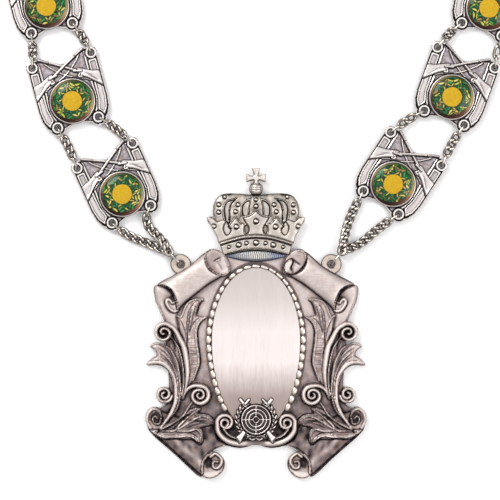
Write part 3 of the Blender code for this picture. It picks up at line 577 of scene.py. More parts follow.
def aged_group():
    """Silver, bright where its value of patina and painted shade is low and brown where it is high,
    with a mottled, granular cast skin.
    """
    tree, given, out = group(
        "aged_silver",
        [("Patina", "Float"), ("Bright", "Color", (0.7, 0.64, 0.62, 1)),
         ("Middle", "Color", (0.4, 0.34, 0.33, 1)), ("Dark", "Color", (0.05, 0.035, 0.035, 1)),
         ("Mottling", "Float", 0.2), ("Gloss", "Float", 0.3)],
        [("Color", "Color"), ("Roughness", "Float"), ("Height", "Float")])
    coarse, fine = noise(tree, 620, 4), noise(tree, 2600, 2)
    grains = maths(tree, "MULTIPLY", maths(tree, "SUBTRACT", fine, 0.5), 0.8)
    stir = maths(tree, "ADD", maths(tree, "SUBTRACT", coarse, 0.5), grains)
    stirred = maths(tree, "MULTIPLY", stir, given["Mottling"])
    aged = maths(tree, "ADD", given["Patina"], stirred, clamp=True)
    warm = spread(tree, noise(tree, 420, 3), 0.45, 0.65, 0.0, 0.6)
    brown = mixed(tree, 1.0, given["Middle"], (1.12, 0.93, 0.74, 1), "MULTIPLY")
    middle = mixed(tree, warm, given["Middle"], brown)
    light = mixed(tree, spread(tree, aged, 0.0, 0.5), given["Bright"], middle)
    colour = mixed(tree, spread(tree, aged, 0.5, 1.0), light, given["Dark"])
    rough = maths(tree, "ADD", given["Gloss"], maths(tree, "MULTIPLY", aged, 0.25))
    height = maths(tree, "ADD", maths(tree, "MULTIPLY", coarse, 0.6), maths(tree, "MULTIPLY", fine, 0.4))
    link(tree, out, {"Color": colour, "Roughness": rough, "Height": height})
    return tree


def brushed_group():
    """Fine upright brush strokes: stretched noise as a value and as a height."""
    tree, given, out = group("brushed", [("Strength", "Float", 0.5)],
                             [("Value", "Float"), ("Height", "Float")])
    stretched = node(tree, "ShaderNodeMapping", {"Vector": coordinates(tree),
                                                 "Scale": (1, 0.09, 1)}).outputs[0]
    strokes = noise(tree, 2600, 3, 0.6, stretched)
    broad = noise(tree, 500, 2, 0.5, stretched)
    both = maths(tree, "ADD", maths(tree, "MULTIPLY", strokes, 0.6), maths(tree, "MULTIPLY", broad, 0.4))
    value = maths(tree, "MULTIPLY", maths(tree, "SUBTRACT", both, 0.5), given["Strength"])
    link(tree, out, {"Value": value, "Height": strokes})
    return tree


AGED, BRUSHED = aged_group(), brushed_group()


def new_material(name):
    """A material, its tree and its Principled shader."""
    made = bpy.data.materials.new(name)
    made.use_nodes = True
    return made, made.node_tree, made.node_tree.nodes["Principled BSDF"]


def attribute(tree, name):
    """A vertex attribute's number."""
    return node(tree, "ShaderNodeAttribute", attribute_name=name).outputs["Fac"]


def silver(name, bright, middle, dark, mottling=0.15, gloss=0.34, bump=0.05):
    """Aged cast silver driven by the piece's attribute of patina and painted shade."""
    made, tree, shader = new_material(name)
    aged = node(tree, "ShaderNodeGroup", node_tree=AGED)
    link(tree, aged, {"Patina": attribute(tree, "patina_and_shade"), "Bright": (*bright, 1), "Middle": (*middle, 1),
                      "Dark": (*dark, 1), "Mottling": mottling, "Gloss": gloss})
    bumped = node(tree, "ShaderNodeBump",
                  {"Strength": bump, "Distance": 0.0003, "Height": aged.outputs["Height"]})
    link(tree, shader, {"Base Color": aged.outputs["Color"], "Roughness": aged.outputs["Roughness"],
                        "Metallic": 1.0, "Normal": bumped.outputs[0]})
    return made


CAST = silver("cast_silver", (0.69, 0.62, 0.59), (0.335, 0.276, 0.275), (0.025, 0.018, 0.021),
              0.30, 0.56, 0.12)
CROWN_CAST = silver("crown_silver", (0.644, 0.592, 0.548), (0.313, 0.287, 0.261),
                    (0.0191, 0.0157, 0.0139), 0.30, 0.34, 0.12)
PLATE_CAST = silver("plate_silver", (0.748, 0.705, 0.67), (0.261, 0.235, 0.261), (0.013, 0.0113, 0.0122))
EMBLEM_CAST = silver("emblem_silver", (0.86, 0.79, 0.75), (0.25, 0.22, 0.23), (0.013, 0.011, 0.012))
BEAD_CAST = silver("bead_silver", (0.766, 0.679, 0.618), (0.348, 0.287, 0.261), (0.0348, 0.0261, 0.0226))
CHAIN_METAL = silver("chain_metal", (0.539, 0.496, 0.444), (0.261, 0.226, 0.2),
                     (0.0261, 0.0191, 0.0174), 0.35, 0.18, 0.03)
LUG_CAST = silver("lug_silver", (0.679, 0.609, 0.539), (0.4, 0.339, 0.304), (0.0348, 0.0261, 0.0244),
                  0.3, 0.42, 0.12)


def satin_sheen_material():
    """The brushed oval with painted light: lilac grey at the top, a pale pink band of painted sheen in the
    middle, and darker brownish pink below as painted shade.
    """
    made, tree, shader = new_material("satin_sheen_oval")
    brushed = node(tree, "ShaderNodeGroup", node_tree=BRUSHED)
    brushed.inputs["Strength"].default_value = 0.35
    height = node(tree, "ShaderNodeSeparateXYZ", {0: coordinates(tree)}).outputs[1]
    waver = maths(tree, "MULTIPLY", brushed.outputs["Value"], 0.25)
    share = maths(tree, "ADD", spread(tree, height, -0.033, 0.034), waver)
    # painted sheen: a pale band across the middle, fading to darker tones at the top and bottom
    sheen_bands = ramp(tree, share, (0.0, 0.270, 0.213, 0.197), (0.22, 0.362, 0.295, 0.273),
                 (0.42, 0.731, 0.661, 0.644), (0.60, 0.713, 0.652, 0.635), (0.80, 0.566, 0.505, 0.487),
                 (1.0, 0.487, 0.435, 0.418))
    strokes = grey(tree, maths(tree, "ADD", 1.0, brushed.outputs["Value"]))
    bumped = node(tree, "ShaderNodeBump",
                  {"Strength": 0.08, "Distance": 0.0002, "Height": brushed.outputs["Height"]})
    link(tree, shader, {"Base Color": mixed(tree, 1.0, sheen_bands, strokes, "MULTIPLY"), "Roughness": 0.42,
                        "Metallic": 1.0, "Normal": bumped.outputs[0]})
    return made


def lens_material():
    """The fluted lens under the crown: bluish silver with a yellow-white middle."""
    made, tree, shader = new_material("lens_silver")
    across = node(tree, "ShaderNodeSeparateXYZ", {0: coordinates(tree)}).outputs[0]
    share = maths(tree, "ABSOLUTE", maths(tree, "MULTIPLY", maths(tree, "ADD", across, 0.0012), 82.0))
    colour = ramp(tree, share, (0.0, 0.48, 0.46, 0.38), (0.45, 0.39, 0.385, 0.37), (0.7, 0.21, 0.23, 0.30),
                  (1.0, 0.20, 0.22, 0.30))
    dark = maths(tree, "MULTIPLY", attribute(tree, "patina_and_shade"), 0.85, clamp=True)
    colour = mixed(tree, dark, colour, (0.06, 0.07, 0.12, 1))
    link(tree, shader, {"Base Color": colour, "Roughness": 0.36, "Metallic": 1.0})
    return made


def enamel_material():
    """Dark green with leaves of green, gold and cream, a golden middle and black lines, coated. The wall
    and the rim beside it are painted with light and shade by the way they face.
    """
    made, tree, shader = new_material("enamel_green")
    green = ramp(tree, noise(tree, 900, 3), (0.3, 0.001, 0.010, 0.003), (0.5, 0.004, 0.05, 0.012),
                 (0.7, 0.02, 0.14, 0.04))
    yellow = ramp(tree, noise(tree, 1400, 2), (0.3, 0.44, 0.25, 0.0), (0.7, 0.54, 0.34, 0.004))
    leaves = ramp(tree, attribute(tree, "tone"), (0.0, 0.01, 0.11, 0.035), (0.35, 0.035, 0.26, 0.06),
                  (0.6, 0.46, 0.44, 0.05), (0.8, 0.64, 0.50, 0.12), (1.0, 0.30, 0.17, 0.06))
    # painted light and shade on the wall: near black at the bottom, red-brown to beige at the sides, dark at
    # the top
    wall = ramp(tree, attribute(tree, "turn"), (0.0, 0.02, 0.006, 0.004), (0.3, 0.13, 0.05, 0.03),
                (0.55, 0.40, 0.27, 0.12), (0.8, 0.30, 0.24, 0.14), (1.0, 0.05, 0.06, 0.02))
    colour = green
    for key, over in (("leaf", leaves), ("ink", (0.003, 0.006, 0.003, 1)), ("gold", yellow), ("wall", wall)):
        colour = mixed(tree, attribute(tree, key), colour, over)
    link(tree, shader, {"Base Color": colour, "Roughness": 0.4, "Metallic": 0.0, "Coat Weight": 1.0,
                        "Coat Roughness": 0.03, "Coat IOR": 1.28, "Specular IOR Level": 0.1})
    return made


SATIN_SHEEN, LENS_METAL, ENAMEL = satin_sheen_material(), lens_material(), enamel_material()


# Pendant

BASE = 1.7  # the height of the pendant's ground above its back
GROUND = [
    (0.0, 40.4), (12.1, 38.9), (16.7, 34.5), (29.3, 21.1), (39.8, 26.0), (40.4, 20.6), (38.6, 16.4),
    (36.7, 12.0), (33.6, 7.6), (32.3, -0.8), (34.7, -4.2), (35.0, -9.3), (34.8, -14.3), (35.7, -21.0),
    (37.8, -22.9), (41.3, -24.0), (43.5, -27.0), (43.4, -30.5), (41.3, -33.8), (31.9, -42.1),
    (22.2, -50.6), (20.9, -44.6), (17.1, -40.0), (12.3, -38.2), (9.1, -38.8), (6.2, -39.1), (3.2, -38.6),
    (0.0, -37.6), (-3.2, -38.6), (-12, -38), (-12, 39),
]
ROLL_AXIS = [(15.37, 35.07), (35.24, 20.98)]
ROLL_BODY = [
    (19.9, 39.4), (24.4, 35.6), (26.7, 33.6), (32.9, 30.0), (38.2, 27.2), (39.4, 26.0), (37.4, 26.0),
    (35.4, 25.2), (33.7, 23.8), (32.6, 21.8), (31.7, 19.6), (31.2, 17.0), (31.0, 16.2), (29.8, 17.9),
    (26.7, 20.7), (22.8, 23.8), (19.1, 26.6), (16.6, 28.1), (14.0, 29.6), (12.7, 30.8), (13.2, 35.6),
    (17.1, 39.8),
]
ROLL_END = [
    (20.4, 37.4), (19.9, 39.0), (18.5, 40.2), (16.6, 40.4), (14.3, 39.5), (12.2, 37.4), (10.8, 34.5),
    (10.5, 32.2), (11.4, 30.7), (13.2, 29.9), (15.4, 30.4), (18.0, 32.1), (19.8, 34.6),
]
ROLL_TUBE = [(17.0, 35.6), (14.8, 36.6), (12.9, 37.7), (11.4, 35.0), (10.9, 32.4), (11.8, 31.0),
             (13.5, 30.6), (15.3, 31.6), (16.4, 33.6)]
ROLL_CURL = [
    (14.3, 36.5), (12.2, 35.4), (11.2, 33.3), (11.7, 31.3), (13.4, 30.3), (14.8, 31.3), (13.9, 32.7),
    (14.7, 34.8),
]
FLANK = [
    (39.5, 26.1), (40.5, 24.4), (40.5, 22.1), (39.9, 19.3), (38.6, 15.9), (36.8, 12.3), (35.0, 8.6),
    (32.6, 6.6), (30.8, 8.6), (31.4, 12.6), (31.6, 15.4), (34.0, 15.9), (35.4, 17.6), (35.8, 19.6),
    (33.1, 22.1), (35.9, 25.2),
]
HOOK = [(31.3, 15.9), (32.6, 15.5), (34.0, 16.2), (35.2, 17.8), (35.8, 19.3), (35.5, 20.1), (34.7, 20.3),
        (34.0, 19.6), (33.3, 18.8), (32.1, 19.4)]
UPPER_LEAF = [
    (21.2, 20.3), (22.8, 20.8), (25.0, 20.4), (26.7, 19.6), (28.1, 17.9), (28.9, 15.9), (29.5, 14.2),
    (30.1, 13.2), (31.6, 14.0), (31.2, 11.7), (30.8, 8.9), (30.1, 6.7), (28.9, 4.1), (28.9, 2.6),
    (27.8, -1.5), (27.4, -6.4), (28.0, -10.9), (28.2, -14.1), (26.8, -14.1), (25.2, -12.1), (23.9, -8.4),
    (22.9, -5.1), (23.1, -1.5), (23.7, 2.6), (24.0, 6.7), (23.9, 8.6), (23.0, 10.6), (21.6, 12.3),
    (19.5, 13.5), (21.1, 13.5), (22.8, 13.8), (23.7, 14.2), (23.3, 15.9), (22.6, 17.9),
]
UPPER_VEINS = [
    [(21.6, 20.1), (24.4, 19.0), (26.7, 15.9), (27.4, 12.6), (27.7, 8.9), (27.5, 4.7), (27.8, 0.2)],
    [(25.6, 17.1), (26.3, 14.2), (26.7, 10.9), (27.4, 6.7), (27.5, 3.3)],
    [(24.0, 17.9), (25.0, 14.2), (25.8, 10.3), (27.0, 6.7), (27.4, 4.1)],
    [(20.2, 13.5), (22.8, 12.8), (25.0, 10.6), (26.5, 7.0), (27.1, 3.3)],
    [(31.2, 13.5), (29.8, 11.4), (28.5, 8.1), (27.9, 4.7)],
    [(27.2, 7.1), (27.4, 2.6), (26.9, -1.5), (26.8, -6.4), (27.4, -12.5)],
]
UPPER_RIB = [(31.3, 13.7), (30.1, 13.1), (29.4, 14.2), (28.8, 15.9), (27.9, 17.8), (26.6, 19.3),
             (25.0, 20.1), (22.8, 20.5), (21.4, 20.3)]
UPPER_EDGE = [(19.6, 13.4), (21.6, 12.3), (23.0, 10.6), (23.8, 8.6), (24.0, 6.7), (23.7, 2.6),
              (23.1, -1.5), (22.9, -5.1), (23.9, -8.4), (25.2, -12.1)]
OUTER_LEAF = [
    (42.4, 1.5), (40.8, 2.9), (38.8, 3.0), (36.6, 2.0), (34.4, 0.3), (33.0, -2.0), (31.4, -5.0),
    (30.6, -9.0), (30.1, -13.0), (29.8, -18.0), (31.3, -23.5), (34.2, -27.6), (37.6, -30.6),
    (39.3, -31.9), (38.2, -30.9), (36.2, -28.0), (34.2, -24.7), (32.7, -20.6), (32.3, -16.6),
    (32.9, -12.5), (34.6, -9.2), (36.8, -6.9), (39.5, -6.0), (43.2, -6.2), (43.6, -5.2), (41.5, -3.2),
    (39.7, -2.0), (40.5, 0.1),
]
OUTER_VEINS = [
    [(39.4, 1.2), (36.0, -1.2), (33.6, -4.2), (32.2, -7.6)],
    [(38.8, -0.9), (35.4, -3.7), (32.9, -7.2), (31.6, -11.2), (31.4, -16.0)],
    [(38.6, -2.2), (35.6, -4.4), (33.4, -7.4), (32.2, -10.8)],
    [(36.4, 0.6), (34.2, -1.6), (32.6, -4.8), (31.4, -9.0)],
    [(30.8, -15.0), (31.2, -20.0), (33.0, -25.0), (37.2, -30.4)],
]
OUTER_RIBS = [
    [(42.1, 1.6), (39.4, 2.9), (36.8, 2.1), (34.2, 0.3), (32.8, -2.0), (31.6, -4.6), (30.9, -7.9),
     (30.4, -12.0), (30.2, -17.0), (31.6, -23.0), (35.0, -27.8)],
    [(42.8, -5.1), (39.5, -4.7), (36.4, -5.6), (33.8, -8.8), (32.5, -12.0), (31.9, -16.5), (32.4, -21.5),
     (34.8, -26.6), (38.2, -31.2)],
    [(38.8, 0.0), (35.8, -2.6), (33.4, -5.6), (31.8, -9.6), (31.1, -14.0), (31.2, -19.0), (33.2, -24.6),
     (37.0, -30.0)],
]
THIN_STEM = [(25.4, -20.6), (27.2, -23.1), (28.9, -25.8), (31.7, -28.2), (35.4, -30.2), (38.2, -31.5)]
LOWER_LEAF = [
    (39.3, -32.1), (35.8, -31.9), (32.1, -29.6), (28.9, -26.2), (26.0, -24.1), (22.6, -23.4),
    (24.0, -25.6), (21.5, -25.8), (18.6, -26.8), (17.2, -28.5), (18.2, -29.5), (21.1, -30.1),
    (23.6, -31.2), (22.2, -31.9), (21.4, -33.8), (22.2, -37.1), (25.2, -35.1), (28.9, -34.9),
    (32.9, -34.7), (37.0, -34.9), (40.3, -33.7), (41.9, -32.1),
]
LOWER_HOLLOW = [
    (26.0, -25.2), (28.5, -26.2), (30.7, -27.5), (34.5, -30.1), (38.2, -31.9), (34.3, -31.8), (30.9, -31.0),
    (28.8, -29.1), (27.0, -27.2),
]
LOWER_RIBS = [
    [(38.6, -32.0), (32.5, -31.8), (30.1, -29.4), (26.0, -25.8), (23.1, -23.9)],
    [(30.9, -31.3), (26.8, -28.9), (22.7, -26.6), (19.9, -26.6), (17.6, -28.4)],
    [(31.3, -32.0), (27.2, -32.2), (23.8, -31.5), (21.9, -33.3), (22.2, -36.6)],
    [(41.5, -32.3), (37.0, -34.0), (32.1, -33.9), (28.0, -33.2), (24.4, -34.3), (22.3, -36.8)],
]
LOWER_VEINS = [
    [(30.1, -30.9), (26.0, -28.8), (21.1, -28.2), (18.2, -28.8)],
    [(29.3, -32.5), (25.6, -33.1), (23.1, -34.9)],
    [(28.9, -27.2), (26.0, -25.1), (23.5, -24.1)],
    [(28.0, -30.9), (24.0, -29.6), (20.3, -29.1)],
]
LOW_BODY = [
    (43.8, -27.2), (43.5, -29.6), (41.9, -32.1), (38.2, -34.9), (34.2, -38.6), (28.0, -44.0),
    (22.0, -49.3), (21.8, -46.4), (21.3, -43.9), (19.5, -41.5), (16.2, -39.2), (12.4, -37.6),
    (15.4, -35.5), (17.0, -30.9), (21.9, -28.8), (30.1, -27.2), (38.2, -24.7),
]
LOW_RIM = [(12.4, -37.9), (16.0, -39.5), (19.1, -41.8), (21.0, -44.1), (21.5, -46.6), (21.5, -49.0)]
LOW_END = [
    (21.9, -49.0), (21.7, -46.4), (20.9, -43.9), (18.6, -41.3), (16.4, -40.5), (13.5, -42.5),
    (12.5, -44.8), (13.0, -47.6), (15.2, -50.1), (18.0, -51.2), (20.5, -50.8),
]
LOW_HOOK = [(18.2, -42.3), (16.2, -41.1), (14.0, -42.9), (13.8, -44.9), (15.2, -46.8), (16.7, -46.8),
            (17.3, -45.5), (16.7, -44.3), (15.4, -44.5)]
TONGUE = [(-0.1, 33.0), (11.2, 33.0), (11.2, 42.8), (-0.1, 42.8)]
FOOT_CURL = (12.4, -29.0)


def upper_roll(work, level):
    """The flank leaf, the upper scroll's roll with its open end, and the hook beside it."""
    work.panel(FLANK, 2.9, BASE, bevel=1.2, dome=0.7, dome_reach=4, paint=0.28, moat=0.2, grows=True)
    # painted shade in the hollow under the roll, beside the hook
    work.shade([(32.8, 25.4), (36.4, 24.4), (37.4, 21.0), (36.6, 17.8), (34.6, 15.6), (30.4, 14.0)],
               0.5, 2.0)
    work.ridge([(39.4, 20.0), (38.2, 15.8), (36.6, 12.0), (34.8, 9.4)], [0.2, 0.4, 0.3], [3.7, 3.4, 3.2],
               BASE, 0.05, 0.1)
    work.drum(ROLL_AXIS, (5.5, 6.4), 4.0, BASE, ROLL_BODY, paint=0.22)
    work.tint(ROLL_BODY, 0.8, 0.035 * level, step=0.8)
    work.panel(HOOK + [(31.6, 17.9)], 3.0, BASE, bevel=0.6, dome=0.3, paint=0.26, moat=0.5)
    work.ridge(HOOK, [0.45, 0.6, 0.65, 0.6, 0.4], [3.0, 3.8, 3.8, 3.3, 2.8], -0.9, 0.06, 0.5)
    work.ridge([(37.5, 26.0), (35.4, 25.2), (33.7, 23.8), (32.6, 21.8), (31.7, 19.6), (31.1, 16.6)], 0.3,
               [4.4, 4.6, 4.8, 4.4], BASE, 0.12, 0.4)
    work.panel(ROLL_END, 3.4, BASE, bevel=0.5, dome=-0.4, dome_reach=4, paint=0.40, moat=0.3, grows=True)
    work.shade(ROLL_TUBE, 0.16, 0.9)
    work.groove([(17.0, 35.4), (15.6, 36.4), (14.2, 37.0)], 0.22, 0.5, 0.8)
    work.groove([(15.6, 35.4), (14.2, 33.4), (13.4, 31.4)], 0.22, 0.3, 0.45)
    work.groove([(12.8, 36.4), (11.8, 34.4), (11.6, 32.6)], 0.22, 0.3, 0.45)
    work.ridge([(15.9, 35.6), (14.6, 36.1)], 0.35, 4.0, 3.2, 0.02, 0.0)
    work.ridge(ROLL_END + ROLL_END[:1], 0.3, [4.4, 4.1, 3.8, 3.8, 4.1, 4.6, 4.8], BASE, 0.16, 0.15)
    work.groove([(20.3, 34.6), (18.4, 31.8), (15.6, 30.2)], 0.24, 0.3, 0.7)


def upper_leaf(work, upright, level):
    """The veined leaf below the upper roll, with its bright edge."""
    work.panel(UPPER_LEAF, 2.7, BASE, bevel=0.6, dome=0.6, dome_reach=2.6, paint=0.36, moat=0.25)
    work.tint(UPPER_LEAF, 0.2, np.where(work.y > 3, 0.09 * upright, 0))
    work.shade([(23.4, 1.0), (28.2, 1.0), (28.2, -12.0), (25.8, -13.8), (23.8, -8.0)], 0.55, 2.2)
    work.tint(UPPER_LEAF, 0.2, np.where(work.y < 5, 0.13 * level, 0))
    work.ridge(UPPER_RIB, 0.42, [3.2, 3.6, 3.6, 3.4], -0.9, 0.02, 0.2)
    work.groove([(x - 0.55, y - 0.1) for x, y in UPPER_EDGE], 0.3, 0.5, 0.97)
    work.ridge(UPPER_EDGE, [0.35, 0.42, 0.45, 0.45, 0.4, 0.3], [3.4, 3.8, 3.8, 3.6], -0.9, 0.0, 0.0)
    work.groove([(21.0, 20.4), (22.6, 18.4), (23.4, 15.8), (23.9, 14.0)], 0.26, 0.4, 0.95)
    work.ridge([(22.4, 20.4), (23.5, 18.2), (24.2, 15.6), (24.6, 13.6)], 0.25, 3.6, BASE, 0.08, 0.0)
    for vein in UPPER_VEINS:
        work.groove(vein, 0.24, 0.35, 0.8)
        work.ridge([(x - 0.45, y) for x, y in vein], 0.16, 0.25, None, 0.12, 0.0)


def low_corner(work):
    """The lower scroll's upper corner with its small curl and its hollow, painted dark as shade."""
    corner = [(38.2, -23.6), (41.0, -22.7), (43.6, -24.6), (44.0, -28.0), (42.6, -31.6), (39.6, -33.4),
              (36.8, -29.0)]
    work.panel(corner, 3.2, BASE, bevel=0.9, paint=0.42, moat=0.3, grows=True)
    # painted shade in the corner's hollow
    work.shade([(37.4, -25.0), (39.8, -24.2), (42.0, -25.4), (42.3, -28.2), (39.6, -30.4), (37.0, -29.6),
                (36.2, -27.6)], 0.97, 0.5)
    work.ridge([(37.6, -26.4), (38.8, -24.2), (41.0, -23.4), (43.0, -25.2), (43.4, -28.2), (41.9, -31.0)],
               [0.3, 0.6, 0.8, 0.8, 0.6], [3.4, 3.9, 4.1, 4.1, 3.8], BASE, 0.26, 0.3)
    work.ridge([(37.9, -27.0), (38.6, -29.2), (40.6, -29.0), (41.2, -27.2), (40.2, -26.3), (39.3, -27.2)],
               [0.26, 0.32, 0.32, 0.3, 0.25], 4.0, BASE, 0.2, 0.4)


def outer_leaf(work, upright):
    """The outer volute, the recess beside it and the ribbed leaf at the waist."""
    work.coil((36.5, -17.7), [3.0, 2.9, 2.75, 2.5, 1.8, 1.35, 1.1, 0.85],
              [0.6, 0.66, 0.68, 0.62, 0.58, 0.54, 0.46], [3.4, 3.8, 4.1, 4.2, 4.3, 4.4], 190, 1.7,
              grows=True)
    recess = [(34.2, 3.6), (32.0, -1.0), (30.0, -6.0), (29.2, -11.0), (29.4, -17.0), (31.6, -17.0),
              (31.4, -10.0), (32.8, -4.4), (35.4, 0.0), (36.0, 3.0)]
    work.grow(recess)
    work.shade(recess, 0.66, 0.6)
    work.tint(recess, 0, 0.12 * upright)
    work.panel(OUTER_LEAF, 2.9, BASE, bevel=0.7, dome=0.5, dome_reach=2.0, paint=0.36, moat=0.4, grows=True)
    work.tint(OUTER_LEAF, 0.3, 0.08 * upright)
    work.groove([(39.2, 2.6), (36.0, 0.6), (33.9, -2.6), (32.0, -8.4), (31.3, -14.0)], 0.3, 0.4, 0.75)
    for vein in OUTER_VEINS:
        work.groove(vein, 0.24, 0.4, 0.88)
    for rib, wide in zip(OUTER_RIBS, (0.36, 0.8, 0.26)):
        work.ridge(rib, wide * np.array([0.7, 1, 1.05, 1, 0.8, 0.6]), [3.2, 3.7, 3.8, 3.8, 4.0, 4.0],
                   -1.0, 0.03, 0.3)
    work.groove([(41.6, -5.9), (38.4, -5.9), (35.6, -7.4), (33.2, -10.8), (32.3, -15.6)], 0.26, 0.3, 0.9)


def side_volute(work):
    """The large volute at the flank and the bright line along its stem."""
    work.coil((36.7, 7.3), [3.4, 3.35, 3.3, 3.2, 2.5, 1.55, 1.4, 1.25, 0.7],
              [0.6, 0.65, 0.9, 1.1, 1.15, 1.05, 0.9, 0.8, 0.78, 0.7, 0.6, 0.5, 0.4],
              [3.4, 3.9, 4.1, 4.2, 4.3, 4.4, 4.5, 4.6], 130, -1.6,
              [(29.2, -19.0), (28.0, -14.0), (27.4, -9.2), (27.8, -4.0), (28.7, 1.0), (30.5, 4.8),
               (32.5, 8.4)], grows=True, hollow_shade=0.8)
    line = [(34.4, 6.0), (32.6, 3.6), (31.0, 1.0), (29.8, -3.0), (29.0, -8.0), (28.9, -13.0), (29.6, -18.0)]
    work.groove([(x - 0.5, y) for x, y in line], 0.3, 0.6, 0.97)
    work.ridge(line, 0.32, [3.8, 3.7, 3.6, 3.6], -0.8, 0.02, 0.3)


def lower_leaf(work, level):
    """The veined and ribbed leaf that lies on the lower scroll."""
    # painted shade: a dark band round the leaf's outline and the black hollow beside the stem
    work.ridge(LOWER_LEAF + LOWER_LEAF[:1], 0.9, 0.0, None, 0.97, 0.0)
    work.panel(LOWER_LEAF, 0.9, None, bevel=0.6, dome=0.4, dome_reach=2.0, paint=0.68, moat=0.6)
    work.tint(LOWER_LEAF, 0.3, 0.04 * level)
    work.panel(LOWER_HOLLOW, -1.1, None, bevel=0.4, paint=1.0, moat=0.0)
    work.ridge(LOWER_LEAF + LOWER_LEAF[:1], 0.3, 0.3, None, 0.02, 0.4)
    for vein in LOWER_VEINS:
        work.groove(vein, 0.24, 0.4, 0.97)
    for rib in LOWER_RIBS:
        work.ridge(rib, [0.26, 0.36, 0.36, 0.3, 0.2], [0.2, 0.4, 0.45, 0.4, 0.2], None, 0.02, 0.45)
    work.ridge([(40.6, -33.0), (36.0, -34.3), (31.0, -34.3), (26.5, -34.0), (22.6, -36.6)],
               [0.3, 0.7, 0.6, 0.5, 0.2], [0.2, 0.6, 0.6, 0.5, 0.2], None, 0.2, 0.4)


def foot_volutes(work):
    """The two volutes below the oval with their stems."""
    work.ridge(THIN_STEM, [0.34, 0.36, 0.32, 0.3], [0.9, 1.0, 0.9, 0.6], None, 0.1, 0.4)
    work.coil((22.4, -17.7), [3.5, 3.5, 3.5, 3.1, 2.0, 1.6, 1.55, 1.3, 0.7],
              [0.25, 0.6, 0.8, 0.84, 0.84, 0.82, 0.74, 0.6, 0.54, 0.5, 0.42],
              [3.4, 3.9, 4.2, 4.3, 4.4, 4.5, 4.6], 90, 1.875,
              [(29.1, -18.8), (27.5, -15.7), (25.0, -14.2)])
    work.coil(FOOT_CURL, [3.2, 3.15, 3.1, 2.5, 1.75, 1.55, 1.4, 1.35, 1.3],
              [1.15, 1.2, 1.2, 1.15, 1.0, 0.8, 0.7, 0.62, 0.56, 0.52, 0.46],
              [2.9, 3.2, 3.6, 4.0, 4.2, 4.3, 4.4, 4.5], -20, 1.72,
              [(-0.4, -36.6), (3.6, -37.1), (7.2, -37.3), (10.7, -36.5), (13.4, -34.8), (15.1, -32.4)],
              grows=True)
    work.shade([(-5.0, -34.4), (3.6, -34.6), (5.0, -36.6), (3.6, -38.9), (-5.0, -38.9)], 0.92, 2.4)
    work.groove([(3.4, -38.1), (7.2, -38.35), (11.1, -37.45), (14.2, -35.5), (16.1, -32.7)], 0.4, 0.3, 0.97)
    work.groove([(13.4, -33.0), (11.0, -34.8), (8.4, -35.8)], 0.26, 0.5, 0.97)
    work.ridge([(12.8, -31.6), (10.8, -33.8), (8.2, -35.0)], 0.36, 4.2, -0.9, 0.0, 0.4)


def low_scroll_end(work):
    """The lower scroll's open end with its hook and rim."""
    work.panel(LOW_END, 2.6, BASE, bevel=0.5, dome=-0.3, dome_reach=3, paint=0.32, moat=0.4, grows=True)
    work.shade([(20.9, -43.9), (20.2, -47.4), (17.6, -47.0), (16.8, -44.0), (18.6, -41.6)], 0.9, 0.9)
    work.shade([(13.2, -45.6), (14.2, -48.4), (16.4, -50.4), (18.6, -50.8), (20.6, -50.2), (21.2, -48.6),
                (17.6, -48.2), (14.8, -46.6)], 0.08, 0.6)
    work.ridge(LOW_END + LOW_END[:1], 0.3, [3.4, 3.6, 3.8, 3.8, 3.6, 3.3, 3.1], BASE, 0.2, 0.3)
    work.ridge(LOW_HOOK, [0.7, 0.7, 0.6, 0.5, 0.4], [3.8, 4.1, 4.1, 4.0, 3.9], -1.2, 0.08, 0.6)
    work.ridge(LOW_RIM, [0.3, 0.4, 0.4, 0.35], [3.0, 3.6, 4.0, 3.8], -0.9, 0.03, 0.5)


def oval_seat(work):
    """The flat seat round the oval and the tongue under the crown. The seat under the oval and the beads
    is painted dark as shade, with a soft fringe of painted shadow just outside the beads.
    """
    # painted shade: the seat under the oval and the beads is darkened, with a soft fringe outside them
    work.shade(oval_outline(-0.2), 0.72, 0.6)
    ring = depth_inside(work.x, work.y, oval_outline(2.2))
    ring = np.where(work.away(*FOOT_CURL) < 4.4, -9.0, ring)
    work.p = np.where(ring > 0, np.maximum(work.p, 0.72), np.maximum(work.p, 0.66 * bell(ring, 0.45)))
    work.z = np.where(ring > -0.15, np.minimum(work.z, 2.0), work.z)
    work.z = np.where(work.y > 38.5, np.minimum(work.z, 1.9 + 10 * clipped(work.x - 12.0)), work.z)


def pendant_relief():
    """The right half of the pendant's casting."""
    work = Relief((0, -51.6, 44.2, 43.0), step=0.27, level=BASE, paint=0.5)
    lowness = clipped((6 - work.y) / 36)
    mottle = streaked(work.x.shape, 2, 2, 11)
    work.p = 0.22 + 0.58 * lowness + (0.015 + 0.07 * lowness) * mottle
    work.z = work.z + 0.05 * mottle * lowness
    upright = streaked(work.x.shape, 5, 0, 3)
    level = streaked(work.x.shape, 0, 4, 4)
    work.grow(GROUND)
    work.grow(TONGUE, curved=False)
    work.grow([(-3, 30), (14, 30), (14, -34), (-3, -37.2)], curved=False)
    upper_roll(work, level)
    upper_leaf(work, upright, level)
    low_sheet(work)
    low_corner(work)
    outer_leaf(work, upright)
    side_volute(work)
    lower_leaf(work, level)
    foot_volutes(work)
    low_scroll_end(work)
    work.painted_rim_shade(0.55, 0.7)
    oval_seat(work)
    return work


